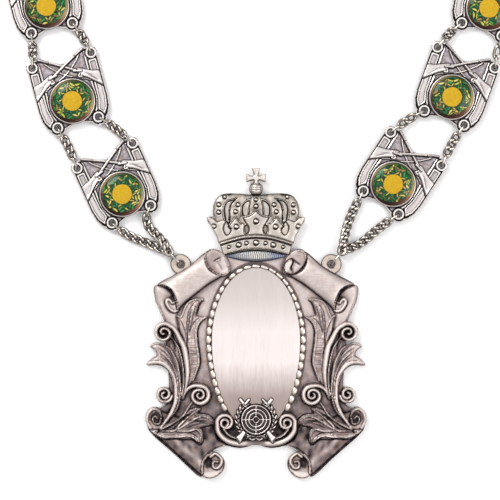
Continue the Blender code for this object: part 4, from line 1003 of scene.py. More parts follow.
def low_sheet(work):
    """The lower scroll: it rises steeply from its outer edge and falls away slowly towards the leaves.

    Its height over the ground is 2.7 sqrt(1 - (1 - s)^2) - 1.9 t^2 (3 - 2t), where s runs over the first
    few millimetres from the edge and t over the far side. Hammer strokes run along it, with a bright band
    of painted sheen along its crest.
    """
    where, gap = work.depth(smooth(LOW_BODY, 0.4, closed=True), 1.5)
    x, y = work.x[where], work.y[where]
    a, b = np.array([43.2, -30.6]), np.array([22.0, -49.2])
    run = unit(b - a)
    edge = (x - a[0]) * run[1] - (y - a[1]) * run[0]
    along = (x - a[0]) * run[0] + (y - a[1]) * run[1]
    near_side = clipped(0.25 + edge / 5.0)
    far_side = clipped((edge - 4.0) / 8.0)
    rise = 2.7 * np.sqrt(clipped(1 - (1 - near_side) ** 2)) - 1.9 * far_side ** 2 * (3 - 2 * far_side)
    # painted sheen: a bright band along the crest; a fainter, lighter band lies further in, and the outline
    # is darker
    painted_sheen = bell(edge - 3.4, 1.5) * clipped((along - 3) / 8)
    tone = 0.84 - 0.34 * painted_sheen - 0.20 * bell(edge - 9.5, 2.0) * clipped((along - 14) / 6)
    strokes = streaked((60, 260), 1, 3, 9)
    row = np.clip(edge * 2.4 + 0.25 * along, 0, 59).astype(int)
    column = np.clip(along * 4 + edge, 0, 259).astype(int)
    tone += 0.12 * strokes[row, column] + 0.04 * streaked(x.shape, 3, 3, 8)
    tone = clipped(tone + 0.35 * clipped(1 - gap / 0.6))
    near = bell(np.minimum(gap, 0), 0.4)
    work.z[where] = np.where(gap > 0, BASE + rise, work.z[where] - 0.4 * near)
    work.p[where] = np.where(gap > 0, tone, np.maximum(work.p[where], 0.9 * near))
    work.body[where] = np.maximum(work.body[where], gap)


def right_roll_end(work):
    """The right roll's inner end, which holds a small curl where the left one is pressed flat."""
    work.panel(ROLL_END, 3.4, BASE, bevel=0.5, paint=0.34, moat=0.3)
    work.shade([(15.2, 35.8), (17.8, 34.2), (18.8, 34.0), (16.8, 31.8), (14.9, 31.0), (14.3, 32.8)],
               0.14, 0.8)
    work.panel(ROLL_CURL, 3.9, 3.3, bevel=0.5, dome=0.2, paint=0.2, moat=0.3)
    work.shade([(12.4, 32.0), (14.4, 32.4), (14.8, 31.2), (13.4, 30.4), (12.0, 31.0)], 0.5, 0.8)
    work.groove(ROLL_CURL[-2:] + ROLL_CURL[:5], 0.28, 0.5, 0.95, tapered=False)
    work.groove([(14.4, 36.6), (14.8, 34.8), (13.8, 32.7), (14.8, 31.2)], 0.26, 0.5, 0.95)
    work.groove([(14.5, 36.5), (16.2, 35.1), (17.9, 33.9)], 0.26, 0.5, 0.95)
    work.groove([(20.3, 36.4), (19.4, 34.2), (17.8, 32.2)], 0.26, 0.3, 0.97)
    work.groove([(20.4, 38.6), (24.3, 35.2), (26.6, 33.2), (32.8, 29.6), (38.0, 26.8)], 0.34, 0.2, 0.97)
    work.ridge([(15.4, 35.0), (14.8, 33.6), (14.6, 32.4)], 0.28, 4.2, -0.5, 0.0, 0.0)
    work.ridge([(13.4, 36.0), (12.1, 34.8), (11.5, 33.0), (12.0, 31.2)], 0.26, 4.3, -0.5, 0.0, 0.0)
    work.ridge([(16.9, 39.8), (18.9, 39.2), (19.7, 37.6), (19.7, 36.6)], 0.34, 4.2, -0.5, 0.08, 0.0)


OVAL_HALF, OVAL_UP, OVAL_DOWN, OVAL_MIDDLE = 17.69, 29.04, 36.0, 4.0


def oval_line(angle, grow):
    """Points of the egg-shaped oval at angles from its widest line, set out by grow."""
    tall = np.where(np.sin(angle) > 0, OVAL_UP, OVAL_DOWN) + grow
    return np.stack([(OVAL_HALF + grow) * np.cos(angle), OVAL_MIDDLE + tall * np.sin(angle)], axis=-1)


def oval_outline(grow):
    """The oval set out by grow, as a closed line of even steps."""
    return evenly(oval_line(np.linspace(0, math.tau, 120), grow), 0.5)


LUG = (30.05, 34.30)
LUG_PROFILE = [
    (1.3, 1.65), (1.45, 1.5), (3.95, 1.5), (4.1, 1.65), (4.1, 2.45), (3.85, 2.65), (3.4, 2.7), (2.0, 2.7),
    (1.6, 2.6), (1.3, 2.4),
]


def pendant():
    """The casting and its two lugs."""
    whole = pendant_relief().mirrored()
    right_roll_end(whole)
    points, faces, values = whole.mesh(back=0.0, reach=1.1, gain=0.28, solid=True)
    piece("pendant_cast", points, faces, CAST, "pendant_body", {"patina_and_shade": values}, 55,
          "one sheet")
    points, faces = joined([lathe(LUG_PROFILE, 56, (side * LUG[0], LUG[1])) for side in (-1, 1)])
    # the lugs darken towards the outer edge and, as painted shade, towards the hole
    away = np.hypot(np.abs(points[:, 0]) - LUG[0], points[:, 1] - LUG[1])
    tone = np.clip(0.25 + 0.75 * np.maximum((away - 3.5) / 0.5, (1.9 - away) / 0.5), 0.25, 1)
    piece("pendant_lugs", points, faces, LUG_CAST, "pendant_body", {"patina_and_shade": tone}, 50)


def oval_plate():
    """The flat oval, its edge rounded over."""
    sides, under, top = 160, 2.3, 3.2
    angle = np.arange(sides) * math.tau / sides
    rows = [(0.0, under), (0.0, 3.05), (-0.15, top), (-4.0, top), (-8.0, top), (-12.0, top)]
    points = np.vstack([np.column_stack([oval_line(angle, grow), np.full(sides, z)]) for grow, z in rows])
    points = np.vstack([points, [[0, OVAL_MIDDLE, top], [0, OVAL_MIDDLE, under]]])
    ring = np.arange(sides)
    after = np.roll(ring, -1)
    last = (len(rows) - 1) * sides
    caps = [np.stack([last + ring, last + after, np.full(sides, len(points) - 2)], axis=1),
            np.stack([after, ring, np.full(sides, len(points) - 1)], axis=1)]
    faces = [grid_faces(len(rows), sides, close_columns=True)] + caps
    piece("satin_sheen_oval", points, faces, SATIN_SHEEN, "engraving_plate", {}, 40)


BEAD_PITCH, BEAD_LEVEL = 3.5, 3.15


def bead_border():
    """Long beads along the oval's edge on a narrow strip.

    With a and b for a bead's half length and half width, its point at u and v lies a cos u ahead,
    b sin^0.8 u cos v aside and 0.85 sin^0.8 u sin v up.
    """
    angle = np.linspace(-math.radians(50), math.pi + math.radians(50), 400)
    height = np.sin(angle)
    away = 1.25 - 0.35 * clipped(height / 0.4) - 0.4 * clipped((height - 0.8) / 0.2)
    away -= 0.5 * clipped(-height / 0.4)
    line = evenly(oval_line(angle, away), 0.2)
    count = int(round(length_of(line) / BEAD_PITCH))
    spot = np.linspace(0, len(line) - 1, 2 * count + 1)[1::2]
    centre = rows_at(line, spot)
    ahead = unit(rows_at(line, spot + 1) - rows_at(line, spot - 1))
    half = length_of(line) / count / 2 * 0.99
    u = np.linspace(0, math.pi, 13)[1:-1]
    v = np.arange(14) * math.tau / 14
    along = half * np.cos(u)[:, None] * np.ones_like(v)
    swell = np.sin(u)[:, None] ** 0.8
    across = swell * np.cos(v)
    wide = 1.2 - 0.34 * clipped((centre[:, 1] - 6) / 26)[:, None, None, None]
    up = 0.85 * swell * np.sin(v)
    side = np.stack([-ahead[:, 1], ahead[:, 0]], axis=1)
    lengthwise = along[..., None] * ahead[:, None, None]
    xy = centre[:, None, None] + lengthwise + wide * across[None, :, :, None] * side[:, None, None]
    z = np.broadcast_to(BEAD_LEVEL + up, xy.shape[:3])
    points = np.concatenate([xy, z[..., None]], axis=-1).reshape(-1, 3)
    per = len(u) * len(v)
    body = grid_faces(len(u), len(v), close_columns=True)
    faces = (body[None, :, ::-1] + np.arange(count)[:, None, None] * per).reshape(-1, 4)
    ends = np.concatenate([np.column_stack([centre + s * half * ahead, np.full(count, BEAD_LEVEL)])
                           for s in (1, -1)])
    ring = np.arange(len(v))
    first = np.arange(count)[:, None] * per + ring
    pole = len(points) + np.arange(count)[:, None] + 0 * ring
    caps = [np.stack([first, np.roll(first, -1, axis=1), pole], axis=-1).reshape(-1, 3)]
    last = first + per - len(v)
    caps.append(np.stack([np.roll(last, -1, axis=1), last, pole + count], axis=-1).reshape(-1, 3))
    # painted light and shade: each bead is light on top and towards the upper left and dark down its sides.
    # Lower beads are a little darker overall.
    low = clipped(-centre[:, 1] / 25)[:, None, None]
    lit = across[..., None] * side[:, None, None] @ np.array([-0.5, 0.85])
    lit = lit - lengthwise @ np.array([0.15, -0.25])
    value = np.clip(0.58 + 0.14 * low - 0.72 * np.sin(v) * swell - 0.26 * lit, 0.04 + 0.16 * low, 1).ravel()
    strip = evenly(oval_line(angle, away), 0.8)
    way = unit(np.gradient(strip, axis=0))
    normal = np.stack([way[:, 1], -way[:, 0]], axis=1)
    section = [(-0.55, 2.3), (0.55, 2.3), (0.55, 2.75), (-0.55, 2.75)]
    band = np.stack([np.column_stack([strip + normal * a, np.full(len(strip), z)]) for a, z in section],
                    axis=1)
    band_faces = [grid_faces(len(strip), 4, close_columns=True)[:, ::-1],
                  np.array([[0, 1, 2, 3]]), np.array([[3, 2, 1, 0]]) + 4 * (len(strip) - 1)]
    # painted shade: the bead ends and the strip seen between the beads are dark
    value = np.concatenate([value, np.full(2 * count, 0.9), np.full(4 * len(strip), 0.8)])
    points, faces = joined([(np.vstack([points, ends]), [faces] + caps), (band.reshape(-1, 3), band_faces)])
    piece("bead_ring", points, faces, BEAD_CAST, "bead_border", {"patina_and_shade": value}, 60)


TARGET, TARGET_RADIUS, WREATH_RADIUS = (0.0, -27.55), 6.1, 6.9
EMBLEM_STOCK = [(-5.2, -31.6), (-3.8, -32.4), (-5.0, -34.8), (-6.5, -37.1), (-7.4, -36.0), (-8.2, -34.6),
                (-6.6, -33.2)]


def wreath_half(work, side):
    """Half the wreath: a bent stem with a pair of leaves at every 15 degrees."""
    angle = np.radians(np.arange(-76, 74, 15))
    stem = np.column_stack([TARGET[0] + side * WREATH_RADIUS * np.cos(angle),
                            TARGET[1] + WREATH_RADIUS * np.sin(angle)])
    work.ridge(stem, 0.5, 3.9, 3.5, 0.85, 0.1, grows=True)
    for spot, turn in zip(stem, angle):
        way = np.array([-side * math.sin(turn), math.cos(turn)])
        out = np.array([side * math.cos(turn), math.sin(turn)])
        for lean, back in ((0.95, 0.0), (-0.35, 0.9)):
            root = spot - way * back + out * 0.25 * lean
            tip = root + way * 1.9 + out * lean
            leaf = [root, (root + tip) / 2 + out * 0.12, tip]
            work.ridge(leaf, [0.34, 0.54, 0.26], [4.5, 5.0, 4.7], 3.6, 0.06, 0.7, grows=True)


def emblem_rifle(work, side):
    """One rifle, from its butt at the lower corner to its muzzle, and the small leaves beside the butt."""
    butt, muzzle = np.array([side * -6.9, -35.6]), np.array([side * 6.4, -19.3])
    way = unit(muzzle - butt)
    work.ridge([butt + way * s for s in (2.0, 8.0, 14.0, 20.6)], 0.62, 5.2, -0.5, 0.0, 0.9, grows=True)
    work.panel([(side * x, y) for x, y in EMBLEM_STOCK], 4.8, 3.6, bevel=0.5, dome=0.2, dome_reach=1.2,
               paint=0.10, moat=0.7, grows=True)
    work.groove([(side * -6.4, -36.6), (side * -7.7, -34.9)], 0.2, 0.2, 0.7, tapered=False)
    other = np.array([side * 2.7, -19.6])
    work.ridge([other, other + np.array([side * 1.6, -1.7])], 0.44, 4.8, -0.5, 0.05, 0.7, grows=True)
    for leaf in ([(0.1, -34.9), (1.4, -35.6), (2.6, -35.0)], [(0.6, -34.2), (2.4, -34.0), (3.4, -34.6)]):
        work.ridge([(side * x, y) for x, y in leaf], 0.36, 4.4, 3.5, 0.25, 0.4, grows=True)


def emblem():
    """Crossed rifles and a laurel wreath behind a ring target."""
    work = Relief((-8.8, -37.6, 8.8, -18.0), step=0.13, level=3.5, paint=0.7, line=0.2)
    for side in (-1, 1):
        wreath_half(work, side)
    for side in (-1, 1):
        emblem_rifle(work, side)
    x, y = work.x - TARGET[0], work.y - TARGET[1]
    d = np.hypot(x, y)
    work.body = np.maximum(work.body, TARGET_RADIUS - d)
    disc = d < TARGET_RADIUS
    rise = sum(np.exp(-((d - radius) / 0.25) ** 4) for radius in (5.65, 4.15, 2.8))
    rise = rise + np.exp(-((0.75 * d + 0.3 * (np.abs(x) + np.abs(y)) - 1.35) / 0.24) ** 4)
    cross = np.maximum(np.exp(-(x / 0.2) ** 4), np.exp(-(y / 0.2) ** 4))
    rise = clipped(np.maximum(rise, 0.9 * cross * (d > 1.5) * (d < 5.6)))
    dip = sum(bell(d - radius, 0.3) for radius in (4.9, 3.48, 2.1)) + bell(d, 0.6)
    ring = bell(d - 6.3, 0.32)
    work.z = np.where(disc, 4.6 + 0.6 * rise + 0.2 * dip, work.z - 0.4 * ring)
    tone = np.maximum(1.0 - 0.12 * dip - 1.05 * rise, 0.0) + 0.9 * clipped((d - 5.9) / 0.15)
    work.p = np.where(disc, tone, np.maximum(work.p, 0.97 * ring))
    around = work.body < 0
    work.z = np.where(around, 3.65, work.z)
    work.p = np.where(around, 0.98, work.p)
    work.body = work.body + 0.22
    points, faces, values = work.mesh(back=3.5, back_grid=True, reach=0.4, gain=0.12)
    piece("emblem_cast", points, faces, EMBLEM_CAST, "target_emblem", {"patina_and_shade": values}, 50)


# Crown

CROWN_SIDE = [
    (-3.0, 62.15), (0.0, 62.1), (3.6, 62.2), (6.4, 62.5), (9.7, 62.6), (12.0, 62.5), (13.8, 62.1),
    (15.1, 61.3), (16.2, 59.9), (17.0, 57.8), (17.2, 55.0), (17.0, 53.4), (18.4, 53.2), (19.7, 53.0),
    (19.3, 51.4), (17.6, 48.9), (15.7, 45.3), (14.4, 42.2), (14.1, 41.1), (13.0, 37.9), (8.5, 38.9),
    (4.3, 39.8), (0.0, 40.1), (-3.0, 40.0),
]
RECESS_ONE = [(5.1, 53.4), (5.5, 55.4), (5.3, 57.5), (4.2, 59.0), (2.4, 59.6), (2.7, 57.1), (3.0, 53.6)]
RECESS_TWO = [
    (12.0, 51.6), (12.6, 55.0), (12.4, 57.5), (11.2, 59.3), (8.4, 60.0), (9.9, 58.1), (10.5, 55.4),
    (10.4, 52.0), (10.9, 50.6),
]
ARCH_EDGES = [
    [(2.0, 60.6), (2.5, 58.8), (2.9, 56.8), (3.2, 53.6)],
    [(2.2, 60.9), (4.2, 60.2), (5.3, 58.9), (5.9, 57.1), (6.0, 53.6)],
    [(7.6, 60.9), (9.3, 59.8), (10.3, 58.2), (10.8, 55.4), (10.8, 52.4)],
    [(8.2, 61.0), (11.2, 60.2), (12.7, 58.8), (13.2, 55.4), (12.6, 51.6)],
]
FLEURONS = [
    (-2.8, 53.7), (-1.4, 54.6), (0.0, 55.9), (1.4, 54.6), (2.8, 53.7), (5.0, 53.2), (4.4, 51.6),
    (3.6, 50.3), (2.8, 48.9), (3.0, 46.9), (4.3, 46.2), (4.9, 47.7), (4.7, 49.6), (4.9, 50.6),
    (5.9, 50.6), (7.0, 51.8), (8.2, 53.3), (9.3, 51.8), (10.8, 49.9), (9.9, 48.4), (10.3, 46.8),
    (11.6, 45.8), (12.8, 47.2), (13.1, 49.5), (12.1, 51.2), (12.9, 52.0), (14.1, 51.7), (15.5, 51.3),
    (17.0, 52.6), (19.6, 53.0), (17.6, 48.9), (15.7, 45.3), (14.4, 42.2), (9.6, 43.7), (5.0, 45.1),
    (0.0, 45.5), (-3.0, 45.3),
]
CROWN_DROP = [(3.5, 50.1), (2.8, 48.6), (3.1, 47.0), (4.0, 46.4), (4.6, 47.7), (4.5, 49.3)]
CROWN_LOOP = [(11.8, 51.4), (12.9, 49.6), (12.8, 47.2), (11.6, 45.8), (10.3, 46.8), (10.0, 48.1),
              (11.0, 49.2), (11.0, 50.1)]
CROWN_PEARLS = [
    (0, 60.0, 0.75), (0, 57.4, 0.85), (7.2, 58.0, 0.8), (8.1, 55.2, 0.8), (12.5, 61.1, 0.65),
    (14.8, 58.0, 0.8), (14.9, 55.0, 0.8), (0, 51.4, 1.05), (7.8, 49.2, 1.0), (16.8, 49.4, 0.9),
    (0, 42.9, 1.05), (3.8, 42.7, 0.7), (6.9, 42.0, 1.0), (10.8, 41.2, 0.65),
]


CROWN_BAND = [
    (-3.0, 45.2), (0.0, 45.4), (5.0, 45.0), (9.6, 43.9), (14.6, 42.3), (13.1, 38.2), (8.5, 39.2),
    (4.3, 40.1), (0.0, 40.4), (-3.0, 40.3),
]
ORB_MIDDLE, ORB_RADIUS, CROSS_MIDDLE = 64.3, 2.77, 68.7


def crown_band(work):
    """The band: a flat sheet between two bright lines and dark grooves."""
    work.panel(CROWN_BAND, 4.5, 3.6, bevel=0.3, paint=0.32, moat=0.2)
    work.groove([(-0.3, 46.2), (5.0, 45.8), (9.6, 44.7), (14.8, 43.0)], 0.2, 0.3, 0.97, tapered=False)
    work.ridge([(-0.3, 45.5), (5.0, 45.1), (9.6, 44.0), (14.7, 42.4)], 0.36, 5.0, 4.3, 0.0, 0.2)
    work.groove([(-0.3, 44.75), (4.9, 44.35), (9.5, 43.25), (14.5, 41.7)], 0.3, 0.5, 1.0, tapered=False)
    work.ridge([(-0.3, 40.8), (4.3, 40.5), (8.5, 39.6), (12.8, 38.5)], 0.22, 4.9, 4.2, 0.05, 0.3)
    work.groove([(-0.3, 40.2), (4.3, 39.9), (8.5, 39.0), (12.6, 37.9)], 0.3, 0.6, 1.0, tapered=False)


def crown_pearls(work):
    """Half balls: foot + 0.8 r sqrt(1 - (d/r)^2), each with a dark ring round it and painted light and
    shade: a bright band across the middle, darker above and below it.
    """
    for x, y, radius in CROWN_PEARLS:
        where = work.window(np.array([[x, y]]), radius + 1.2)
        d = np.hypot(work.x[where] - x, work.y[where] - y)
        near = bell(np.maximum(d - radius, 0), 0.3)
        ball = (4.4 if y < 52 else 3.9) + 0.8 * radius * np.sqrt(clipped(1 - (d / radius) ** 2))
        band = clipped(np.abs((work.y[where] - y) / radius - 0.18) * 2.8 - 0.6)
        work.z[where] = np.where(d < radius, ball, work.z[where] - 0.3 * near)
        work.p[where] = np.where(d / radius < 1.05, 0.02 + 0.98 * band,
                                 np.maximum(work.p[where], 0.9 * near))


def orb(work):
    """The orb: 3 + 2.3 sqrt(1 - (d/R)^2), with a belt of two lines."""
    away = work.away(0, ORB_MIDDLE)
    ball = np.sqrt(clipped(1 - (away / ORB_RADIUS) ** 2))
    upper = (away < ORB_RADIUS) & (work.y > 61.9)
    work.z = np.where(upper, np.maximum(work.z, 3.0 + 2.3 * ball), work.z)
    # painted shade: the ball is bright in the middle and darkens towards its edge
    work.p = np.where(upper, 0.08 + 0.7 * (away / ORB_RADIUS) ** 5, work.p)
    work.body = np.maximum(work.body, np.where(work.y > 62, ORB_RADIUS - away, -1))
    for level in (64.0, 64.9):
        work.groove([(-0.3, level), (2.4, level)], 0.14, 0.2, 0.75, tapered=False)
    work.groove([(-0.3, 62.1), (1.4, 62.2), (2.7, 62.5)], 0.22, 0.4, 0.97, tapered=False)


def cross(work):
    """The cross: four arms that widen outwards, with bevelled edges."""
    for turn, arm in enumerate((4.1, 3.9, 2.6, 3.9)):
        cos, sin = round(math.cos(turn * math.pi / 2)), round(math.sin(turn * math.pi / 2))
        end = 1.8 if arm > 3 else 1.2
        shape = [(0.0, 0.0), (0.95, 0.95), (1.0, 1.7), (end, arm), (-end, arm), (-1.0, 1.7), (-0.95, 0.95)]
        shape = np.array([(x * cos - y * sin, CROSS_MIDDLE + x * sin + y * cos) for x, y in shape])
        where, d = work.depth(shape, 1)
        s = clipped(d / 0.6)
        work.z[where] = np.where(d > 0, np.maximum(work.z[where], 3.4 + 1.1 * s * (2 - s)), work.z[where])
        # painted shade: each arm's bevel darkens where it faces down the picture
        work.p[where] = np.where(d > 0, 0.08 + 0.5 * (1 - s) * painted_shade_below(-d), work.p[where])
        work.body[where] = np.maximum(work.body[where], d)
    centre = np.maximum(np.abs(work.x), np.abs(work.y - CROSS_MIDDLE))
    work.z = np.where(centre < 0.95, 4.5, work.z)
    work.p = np.where(centre < 0.95, 0.08, work.p)
    work.body = np.maximum(work.body, 1.1 - centre)


def crown():
    """Dome, arches, fleurons, band, pearls, orb and cross in one casting."""
    work = Relief((0, 37.4, 20.2, 73.2), step=0.15, level=2.3, paint=0.5, line=0.2)
    work.grow(CROWN_SIDE, curved=False)
    dome = clipped(work.body / 3.0)
    work.z = 3.2 + 0.8 * dome * (2 - dome)
    mottle = streaked(work.x.shape, 3, 3, 21)
    # painted shade: the dome darkens towards its outline and along its top edge
    low_edge = clipped(1 - work.body / 1.6)
    work.p = 0.34 + 0.06 * mottle + 0.22 * clipped((work.y - 60.6) / 1.4) + 0.34 * low_edge
    for recess in (RECESS_ONE, RECESS_TWO):
        work.panel(recess, 3.3, 3.3, bevel=0.3, paint=0.27, moat=0.0)
        work.groove(recess + recess[:1], 0.2, 0.5, 1.0, tapered=False)
    for edge in ARCH_EDGES:
        work.ridge(edge, 0.2, 0.3, None, 0.04, 0.3)
    work.panel(FLEURONS, 4.5, 3.6, bevel=0.35, dome=0.2, dome_reach=2, paint=0.30, moat=0.5, grows=True)
    work.p += 0.05 * mottle
    work.ridge(FLEURONS[2:6], 0.24, [4.9, 4.8, 4.8], 4.2, 0.0, 0.3)
    work.ridge(FLEURONS[14:17], 0.22, 4.8, 4.2, 0.0, 0.3)
    work.ridge(FLEURONS[16:19], 0.22, 4.8, 4.2, 0.0, 0.3)
    for hollow, tone in ((CROWN_DROP, 0.55), (CROWN_LOOP, 0.16)):
        work.panel(hollow, 3.5, 3.5, bevel=0.3, paint=tone, moat=0.0)
        work.groove(hollow + hollow[:1], 0.2, 0.4, 1.0, tapered=False)
        rim = [(1.16 * (x - hollow[0][0]) + hollow[0][0], 1.08 * (y - 48) + 48) for x, y in hollow[:6]]
        work.ridge(rim, 0.16, 0.25, None, 0.05, 0.0)
    crown_band(work)
    crown_pearls(work)
    orb(work)
    cross(work)
    work.painted_rim_shade(0.4, 0.5, 0.3)
    points, faces, values = work.mirrored().mesh(back=2.3, reach=0.8, gain=0.3, solid=True)
    piece("crown_cast", points, faces, CROWN_CAST, "crown", {"patina_and_shade": values}, 55,
          "one sheet")


def lens():
    """The fluted lens: an arc above and one below, rise 1 - u^2 along it, with upright flutes."""
    columns, rows, half_width, flute_pitch = 240, 16, 12.6, 0.84
    u = np.linspace(-1, 1, columns)
    bow = 1 - u ** 2
    top, foot = 37.75 + 2.3 * bow, 37.65 - 2.4 * bow
    v = np.linspace(0, 1, rows)[:, None]
    x = np.broadcast_to(u * half_width, (rows, columns))
    y = foot + (top - foot) * v
    flute = np.cos(u * half_width * math.tau / flute_pitch) * clipped((v - 0.18) / 0.1)
    round_over = 0.8 * np.sqrt(clipped(1 - (2 * v - 1) ** 2)) + 0.2
    z = 2.35 + (0.3 + 0.7 * bow) * round_over * (0.93 + 0.05 * flute)
    upper = np.stack([x, y, z], axis=-1).reshape(-1, 3)
    lower = upper.copy()
    lower[:, 2] = 2.3
    count = rows * columns
    number = np.arange(count).reshape(rows, columns)
    loop = np.concatenate([number[0, :-1], number[:-1, -1], number[-1, :0:-1], number[:0:-1, 0]])
    after = np.roll(loop, -1)
    walls = np.stack([after, loop, loop + count, after + count], axis=1)
    line = bell(v - 0.16, 0.06) + 1.2 * bell(1 - v, 0.12) + 0.8 * bell(v, 0.08)
    value = np.broadcast_to(clipped(0.42 - 0.42 * flute + line), (rows, columns)).ravel()
    top_faces = grid_faces(rows, columns)
    faces = [top_faces, walls, top_faces[:, ::-1] + count]
    values = {"patina_and_shade": np.concatenate([value, np.full(count, 0.9)])}
    piece("fluted_lens", np.vstack([upper, lower]), faces, LENS_METAL, "crown_lining",
          values, 50)


# Link plates

SIDE_FRAME = [
    (13.5, 14.2), (13.6, 3.6), (13.5, -1.7), (12.8, -5.6), (11.2, -8.2), (9.2, -5.6), (10.2, -1.6),
    (10.4, 3.3), (10.3, 14.2),
]
INNER_LINE = [(9.5, 17.8), (9.4, 11.4), (9.4, 5.4), (9.7, 0.1), (9.0, -4.2), (7.8, -6.6)]
STOCK = [
    (5.4, 12.4), (10.3, 10.3), (13.6, 9.1), (13.8, 6.4), (14.0, 3.0), (11.8, 4.6), (8.4, 7.5), (5.8, 9.1),
    (5.2, 10.6),
]
BARREL = [(5.2, 11.2), (0.2, 14.2), (-4.9, 17.1)]
MUZZLE = [(-4.8, 17.1), (-9.0, 19.3)]
SLING = [(-7.1, 17.3), (-5.1, 15.0), (-2.0, 12.2), (1.8, 9.7), (7.0, 7.7), (9.4, 6.3)]
PLATE_EDGE = [
    (0.0, 15.2), (3.6, 16.6), (8.0, 18.9), (10.0, 19.4), (12.2, 19.4), (14.0, 18.2), (14.4, 15.4),
    (14.4, 11.2), (14.4, 4.2), (14.4, -1.1), (13.9, -5.4), (12.6, -8.4), (10.2, -11.0), (7.7, -11.7),
    (5.4, -10.0), (0.0, -8.5),
]
HOLES = {"top": (12.17, 16.90), "bottom": (8.42, -8.73)}
LOBES = {"top": 2.6, "bottom": 3.3}
SETTING_RADIUS = 9.1


def plate_relief():
    """One link plate about the middle of its setting."""
    work = Relief((-14.8, -12.4, 14.8, 20.6), step=0.2, level=1.8, paint=0.5, line=0.2)
    outline = PLATE_EDGE + [(-x, y) for x, y in PLATE_EDGE[-2:0:-1]]
    work.grow(outline, curved=False)
    for side in (-1, 1):
        for row, (x, y) in HOLES.items():
            work.body = np.maximum(work.body, LOBES[row] - work.away(side * x, y))
    middle = work.away(0, 0)
    work.body = np.maximum(work.body, SETTING_RADIUS - middle)
    work.p = 0.48 + 0.06 * streaked(work.x.shape, 1, 1, 5)

    def there(rows):
        """A line on one side of the plate."""
        return [(side * x, y) for x, y in rows]

    def rim(where):
        """Raises and brightens the plate's edge, with a dark line inside it."""
        work.z = np.where(where & (work.body < 0.5), 2.2, work.z)
        edge = np.where(work.body < 0.5, 0.22, np.where(work.body < 0.92, 0.98, work.p))
        work.p = np.where(where, edge, work.p)

    for side in (-1, 1):
        work.groove(there(INNER_LINE), 0.62, 0.1, 0.98, tapered=False)
        work.ridge(there(INNER_LINE), 0.42, 2.5, 2.2, 0.0, 0.1)
        frame_line = evenly(np.array(there(SIDE_FRAME + SIDE_FRAME[:1])), 0.5)[:-1]
        d = depth_inside(work.x, work.y, frame_line)
        panel = 0.19 + 0.16 * clipped((work.y - 6) / 4) + 0.08 * (work.x * side < 11.6)
        work.z = np.where(d > 0, np.where(d < 0.65, 2.5, 2.2), work.z)
        tone = np.where(d < 0.6, 0.02, np.where(d < 0.86, 0.72, panel))
        work.p = np.where(d > 0, tone, np.maximum(work.p, 0.98 * (d > -0.4)))
    notch = (np.abs(work.x) < 10.5) & (work.y > 12.5)
    rim(notch)
    for side in (1, -1):
        work.ridge(there(SLING), 0.34, 2.7, 2.2, 0.0, 0.25)
    for side in (1, -1):
        work.ridge(there(MUZZLE), 0.5, 2.7, 2.0, 0.28, 0.5, grows=True)
        work.ridge(there(BARREL), [0.62, 0.5, 0.46], [3.1, 3.0, 2.9], 2.1, 0.02, 0.6, grows=True)
        work.panel(there(STOCK), 2.9, 2.4, bevel=0.4, dome=0.2, dome_reach=2, paint=0.2, moat=0.5,
                   grows=True)
        work.ridge(there([(6.2, 9.4), (8.8, 7.9), (11.8, 5.4), (13.4, 4.2)]), 0.5, 0.12, None, 0.0, 0.0)
        work.groove(there([(8.5, 9.6), (10.5, 7.3), (12.4, 5.2)]), 0.2, 0.2, 0.7)
        work.groove(there([(7.4, 9.8), (9.6, 8.6), (11.4, 7.9)]), 0.2, 0.1, 0.4)
        work.ridge(there([(5.6, 10.0), (5.0, 9.0), (6.2, 8.6)]), 0.38, 2.9, 2.3, 0.02, 0.5)
        work.ridge(there([(3.6, 11.6), (5.2, 11.2), (6.6, 10.8)]), 0.46, 3.1, 2.5, 0.02, 0.4)
    rim(~notch)
    for side in (-1, 1):
        for x, y in HOLES.values():
            d = work.away(side * x, y)
            near = (d < 2.7) & ((work.body > 0.5) | (d < 2.25))
            work.z = np.where(near, np.where((d > 1.4) & (d < 2.25), 2.5, 2.1), work.z)
            # painted shade: just round each hole the plate is painted dark for the shade inside the hole
            tone = np.where(d < 1.45, 0.95 - 0.5 * clipped((d - 1.2) / 0.2), np.where(d < 2.2, 0.0, 0.99))
            work.p = np.where(near, tone, work.p)
            work.body = np.minimum(work.body, d - 1.05)
    work.p = np.where((middle > 9.2) & (middle < 9.6) & (work.body > 0.5), 0.98, work.p)
    work.z = np.where(middle < 9.6, np.minimum(work.z, 2.2), work.z)
    return work


# Rows of the wreath: radius, count of leaves, half length, half width, lean and tones
LEAF_ROWS = [
    (7.15, 15, 1.45, 0.34, 0.12, (0.0, 0.2, 0.35)),
    (6.35, 19, 1.35, 0.40, 0.5, (0.0, 0.3, 0.62, 0.75, 1.0)),
    (5.45, 19, 1.25, 0.36, 0.7, (0.1, 0.35, 0.62, 0.8, 1.0)),
    (4.55, 17, 0.9, 0.28, 0.9, (0.0, 0.3, 0.6, 0.9)),
]


